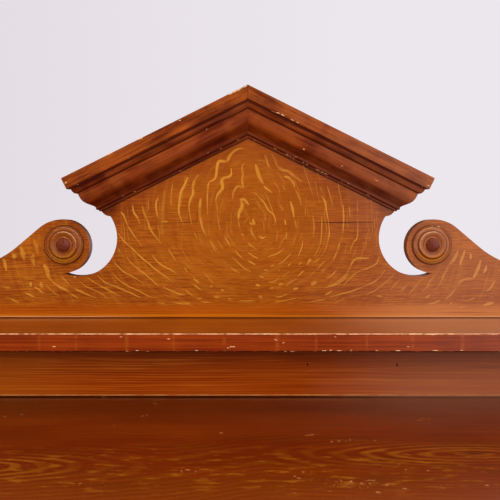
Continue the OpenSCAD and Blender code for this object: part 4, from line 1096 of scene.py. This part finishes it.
# Place across and above the shelf, length, width and turn of each mark, in millimetres and degrees
CROWN_CHIPS = [
    (-13, 298.4, 17.0, 1.5, -27), (-4, 302.8, 6.0, 1.5, -27), (-22, 294.1, 5.5, 1.5, -27), (-138, 237, 5.2, 1.8, -27),
    (-179, 217, 5.2, 1.7, -27), (33, 271.4, 4.6, 1.3, 20), (39, 269.5, 5.4, 1.5, 12), (45, 266.8, 5.6, 1.4, 32),
    (57, 260.5, 4.4, 1.2, 30), (64, 257.4, 3.6, 1.1, 26), (73, 224, 2.6, 2.0, 20), (123, 202, 3.4, 0.8, 22),
    (168, 183, 4.4, 0.8, 26), (36, 225.4, 4.0, 0.9, 27), (52, 217.4, 4.6, 0.9, 27), (56, 215.4, 2.6, 0.8, 27),
    (73, 207.0, 2.4, 0.8, 27), (78, 204.6, 3.4, 0.9, 27), (92, 197.6, 5.4, 1.1, 27), (98, 194.6, 3.4, 1.0, 27),
    (103, 192.2, 5.0, 1.0, 27), (124, 181.8, 2.4, 0.8, 27), (159, 164.4, 3.4, 0.9, 27), (-13, 237, 3.4, 0.9, -27),
    (-36, 225.4, 2.0, 0.8, -27), (-150, 168.8, 2.8, 0.9, -27), (-236, 180, 3.6, 1.6, -27), (234, 176, 3.2, 1.4, 27),
    (-88, 260, 3.0, 1.0, -27)]
SHELF_CHIPS = [
    (-93, -6.3, 4.1, 1.1, 0), (-228, -15.4, 4.7, 1.0, 0), (-18, -15.6, 6.5, 1.2, 0), (-23, -17.0, 3.4, 0.9, 0),
    (33, -7.5, 3.5, 1.0, 15), (42, -11.0, 3.0, 1.0, -20), (-149, -3.9, 2.9, 0.9, 0), (103, -3.9, 2.6, 0.9, 0),
    (189, -15.7, 2.9, 0.9, 0), (217, -0.9, 19, 1.5, 0), (238, -0.8, 7, 1.2, 0), (-84, -0.9, 9, 1.2, 0),
    (-190, -0.8, 6, 1.0, 0), (75, -0.8, 7, 1.1, 0), (90, -20.3, 5, 1.0, 0), (98, -19.8, 3, 1.0, 0),
    (108, -20.2, 6, 1.0, 0), (122, -19.6, 2.4, 1.1, 0), (152, -20.0, 3.4, 1.0, 0), (177, -20.2, 6.5, 1.1, 0),
    (221, -20.1, 8, 1.0, 0), (252, -20.0, 4, 1.0, 0), (-60, -20.2, 3.4, 0.9, 0), (-130, -20.2, 4.2, 0.9, 0)]
UPSTAND_CHIPS = [
    (-131, -61, 4.0, 1.5, 0), (-89, -61, 3.5, 1.3, 0), (-21, -61, 4.0, 1.6, 0), (142, -65, 4.2, 1.6, 0)]
BOARD_CHIPS = [(-231, 55, 2.7, 1.7, 30)]
# The same on the worktop, with the place from the front to the back as the second number
WORKTOP_CHIPS = [
    (-121, 192, 6.4, 4.0, 0), (-257, 181, 5.7, 3.3, 0), (-297, 128, 3.6, 3.1, 30), (-279, 137, 4.9, 3.2, -15),
    (-129, 130, 3.6, 2.8, 0), (-124, 135, 2.4, 2.5, 0), (-30, 56, 3.4, 3.5, 40), (-157, 86, 2.3, 3.0, 0),
    (-64, -75, 1.9, 3.0, 0), (-59, -72, 3.8, 2.5, 8), (-50, -78, 1.9, 3.5, 0), (-155, -112, 3.6, 2.4, -30),
    (70, 48, 11.1, 2.9, -28), (211, 119, 4.2, 2.5, 35), (205, 110, 3.6, 2.5, -50), (219, 117, 2.4, 2.5, 0),
    (92, 22, 3.2, 2.2, 0), (100, 24, 3.2, 2.8, 0), (113, 29, 2.6, 2.3, 0), (140, 26, 3.2, 2.2, 25),
    (54, -79, 1.9, 4.0, 70), (49, -97, 4.6, 2.9, 0), (97, -106, 3.7, 3.3, 0), (106, -112, 3.6, 4.3, -12),
    (116, -103, 8.3, 2.2, -4), (128, -116, 5.4, 3.1, 8), (75, -132, 3.5, 3.2, 0), (155, -72, 2.9, 2.5, 0),
    (176, -75, 2.9, 3.5, 40), (144, -125, 5.4, 2.6, 0), (221, -116, 3.6, 4.7, 40), (118, -135, 4.4, 5.5, -20),
    (246, 9, 6.4, 1.9, 0), (45, -92, 2.8, 3.2, 0), (88, -103, 1.8, 2.4, 0), (42, -136, 2.6, 2.3, 0)]
NAILS = [(80, -63, 1.9, 4.6, 4), (200, -63, 2.0, 5.0, 0), (430, -63, 2.2, 2.4, 0), (-470, -62, 2.2, 2.3, 0)]
CRACKS = [(124, 128, 98, 0.6, 0), (112, 127.7, 44, 0.8, 1), (-91, 127.4, 56, 0.5, -2)]

fresh = bare_wood("bare_chip", 1.6, CHIP_DARK, CHIP, 0.7)
lay_chips("crown_chips", CROWN_CHIPS, ("crown_left", "crown_right"), fresh)
lay_chips("shelf_chips", SHELF_CHIPS, ("gallery_shelf",), fresh)
lay_chips("board_chips", BOARD_CHIPS, ("gallery_board_lower",), fresh)
lay_chips("upstand_chips", UPSTAND_CHIPS, ("upstand_board",), scuffed_wood("upstand_scuff"))
lay_chips("worktop_scuffs", WORKTOP_CHIPS, ("worktop",), scuffed_wood("worktop_scuff"), from_above=True)
lay_chips("filled_nail_holes", NAILS, ("upstand_board",), dark_mark("nail_filling"))
lay_chips("joint_cracks", CRACKS, GALLERY_BOARDS, dark_mark("open_joint"))


# Room, light and camera

def plain_floor():
    shape = bmesh.new()
    bmesh.ops.create_grid(shape, x_segments=1, y_segments=1, size=12)
    floor = in_scene("floor", mesh_from("floor", shape))
    f = Finish("floor_paint")
    f.colour = f.tint(clouds(f, 400), BACKDROP, BACKDROP_LEFT)
    floor.data.materials.append(f.coat(0.85))
    floor.visible_glossy = False


def soft_world():
    """The camera sees a plain pale room, and the varnish sees a darker one than the light comes from."""
    world = bpy.data.worlds.new("studio")
    bpy.context.scene.world = world
    room = Nodes(world)

    def made(kind, sockets):
        return room.add(kind, {}, sockets).outputs[0]

    def between(value, start, end, first, second):
        return made("MapRange", {"Value": value, "From Min": start, "From Max": end,
                                 "To Min": first, "To Max": second})

    path = room.add("LightPath").outputs
    way = room.add("SeparateXYZ", {}, {0: room.add("TexCoord").outputs["Generated"]}).outputs
    wall = room.add("Mix", {"data_type": "RGBA"},
                    {0: between(way[0], -0.3, 0.12, 0.0, 1.0), 6: BACKDROP_LEFT, 7: BACKDROP})
    seen = made("Background", {0: wall.outputs[2]})
    light = made("Background", {0: (1, 0.98, 0.96, 1), 1: 0.66})
    beside = between(way[0], 0.12, 0.36, 0.02, 1.0)
    above = between(way[2], 0.42, 0.9, 0.0, 0.12)
    mirrored = made("Background", {0: (0.9, 0.92, 1, 1), 1: made("Math", {0: beside, 1: above})})
    glossy = made("MixShader", {0: path["Is Glossy Ray"], 1: light, 2: mirrored})
    whole = made("MixShader", {0: path["Is Camera Ray"], 1: glossy, 2: seen})
    room.add("OutputWorld", {}, {0: whole})


def lamp(name, place, aim, size, power):
    """A square lamp that shows in no reflection."""
    light = bpy.data.lights.new(name, "AREA")
    light.size = size
    light.energy = power
    thing = in_scene(name, light)
    thing.visible_glossy = False
    thing.location = place
    thing.rotation_euler = (Vector(aim) - Vector(place)).to_track_quat("-Z", "Y").to_euler()


def camera():
    """Close to the gallery and level with its figure, tipped down a little to take in the worktop."""
    thing = in_scene("camera", bpy.data.cameras.new("camera"))
    thing.data.sensor_width = 36
    thing.data.lens = 58.5
    thing.location = (0.0027, BOARD_FACE - 1.08, SHELF_TOP + 0.151)
    thing.rotation_euler = (math.radians(90 - 3.17), 0, 0)
    bpy.context.scene.camera = thing


plain_floor()
soft_world()
lamp("key", (0.6, -3.2, 1.98), (0, 0.1, 1.0), 1.1, 48)
lamp("fill", (-2.4, -2.4, 2.0), (0, 0, 0.9), 2.2, 8)
lamp("top", (0.2, -0.9, 3.4), (0, 0.1, 1.0), 1.6, 30)
camera()
bpy.context.scene.view_settings.view_transform = "Standard"
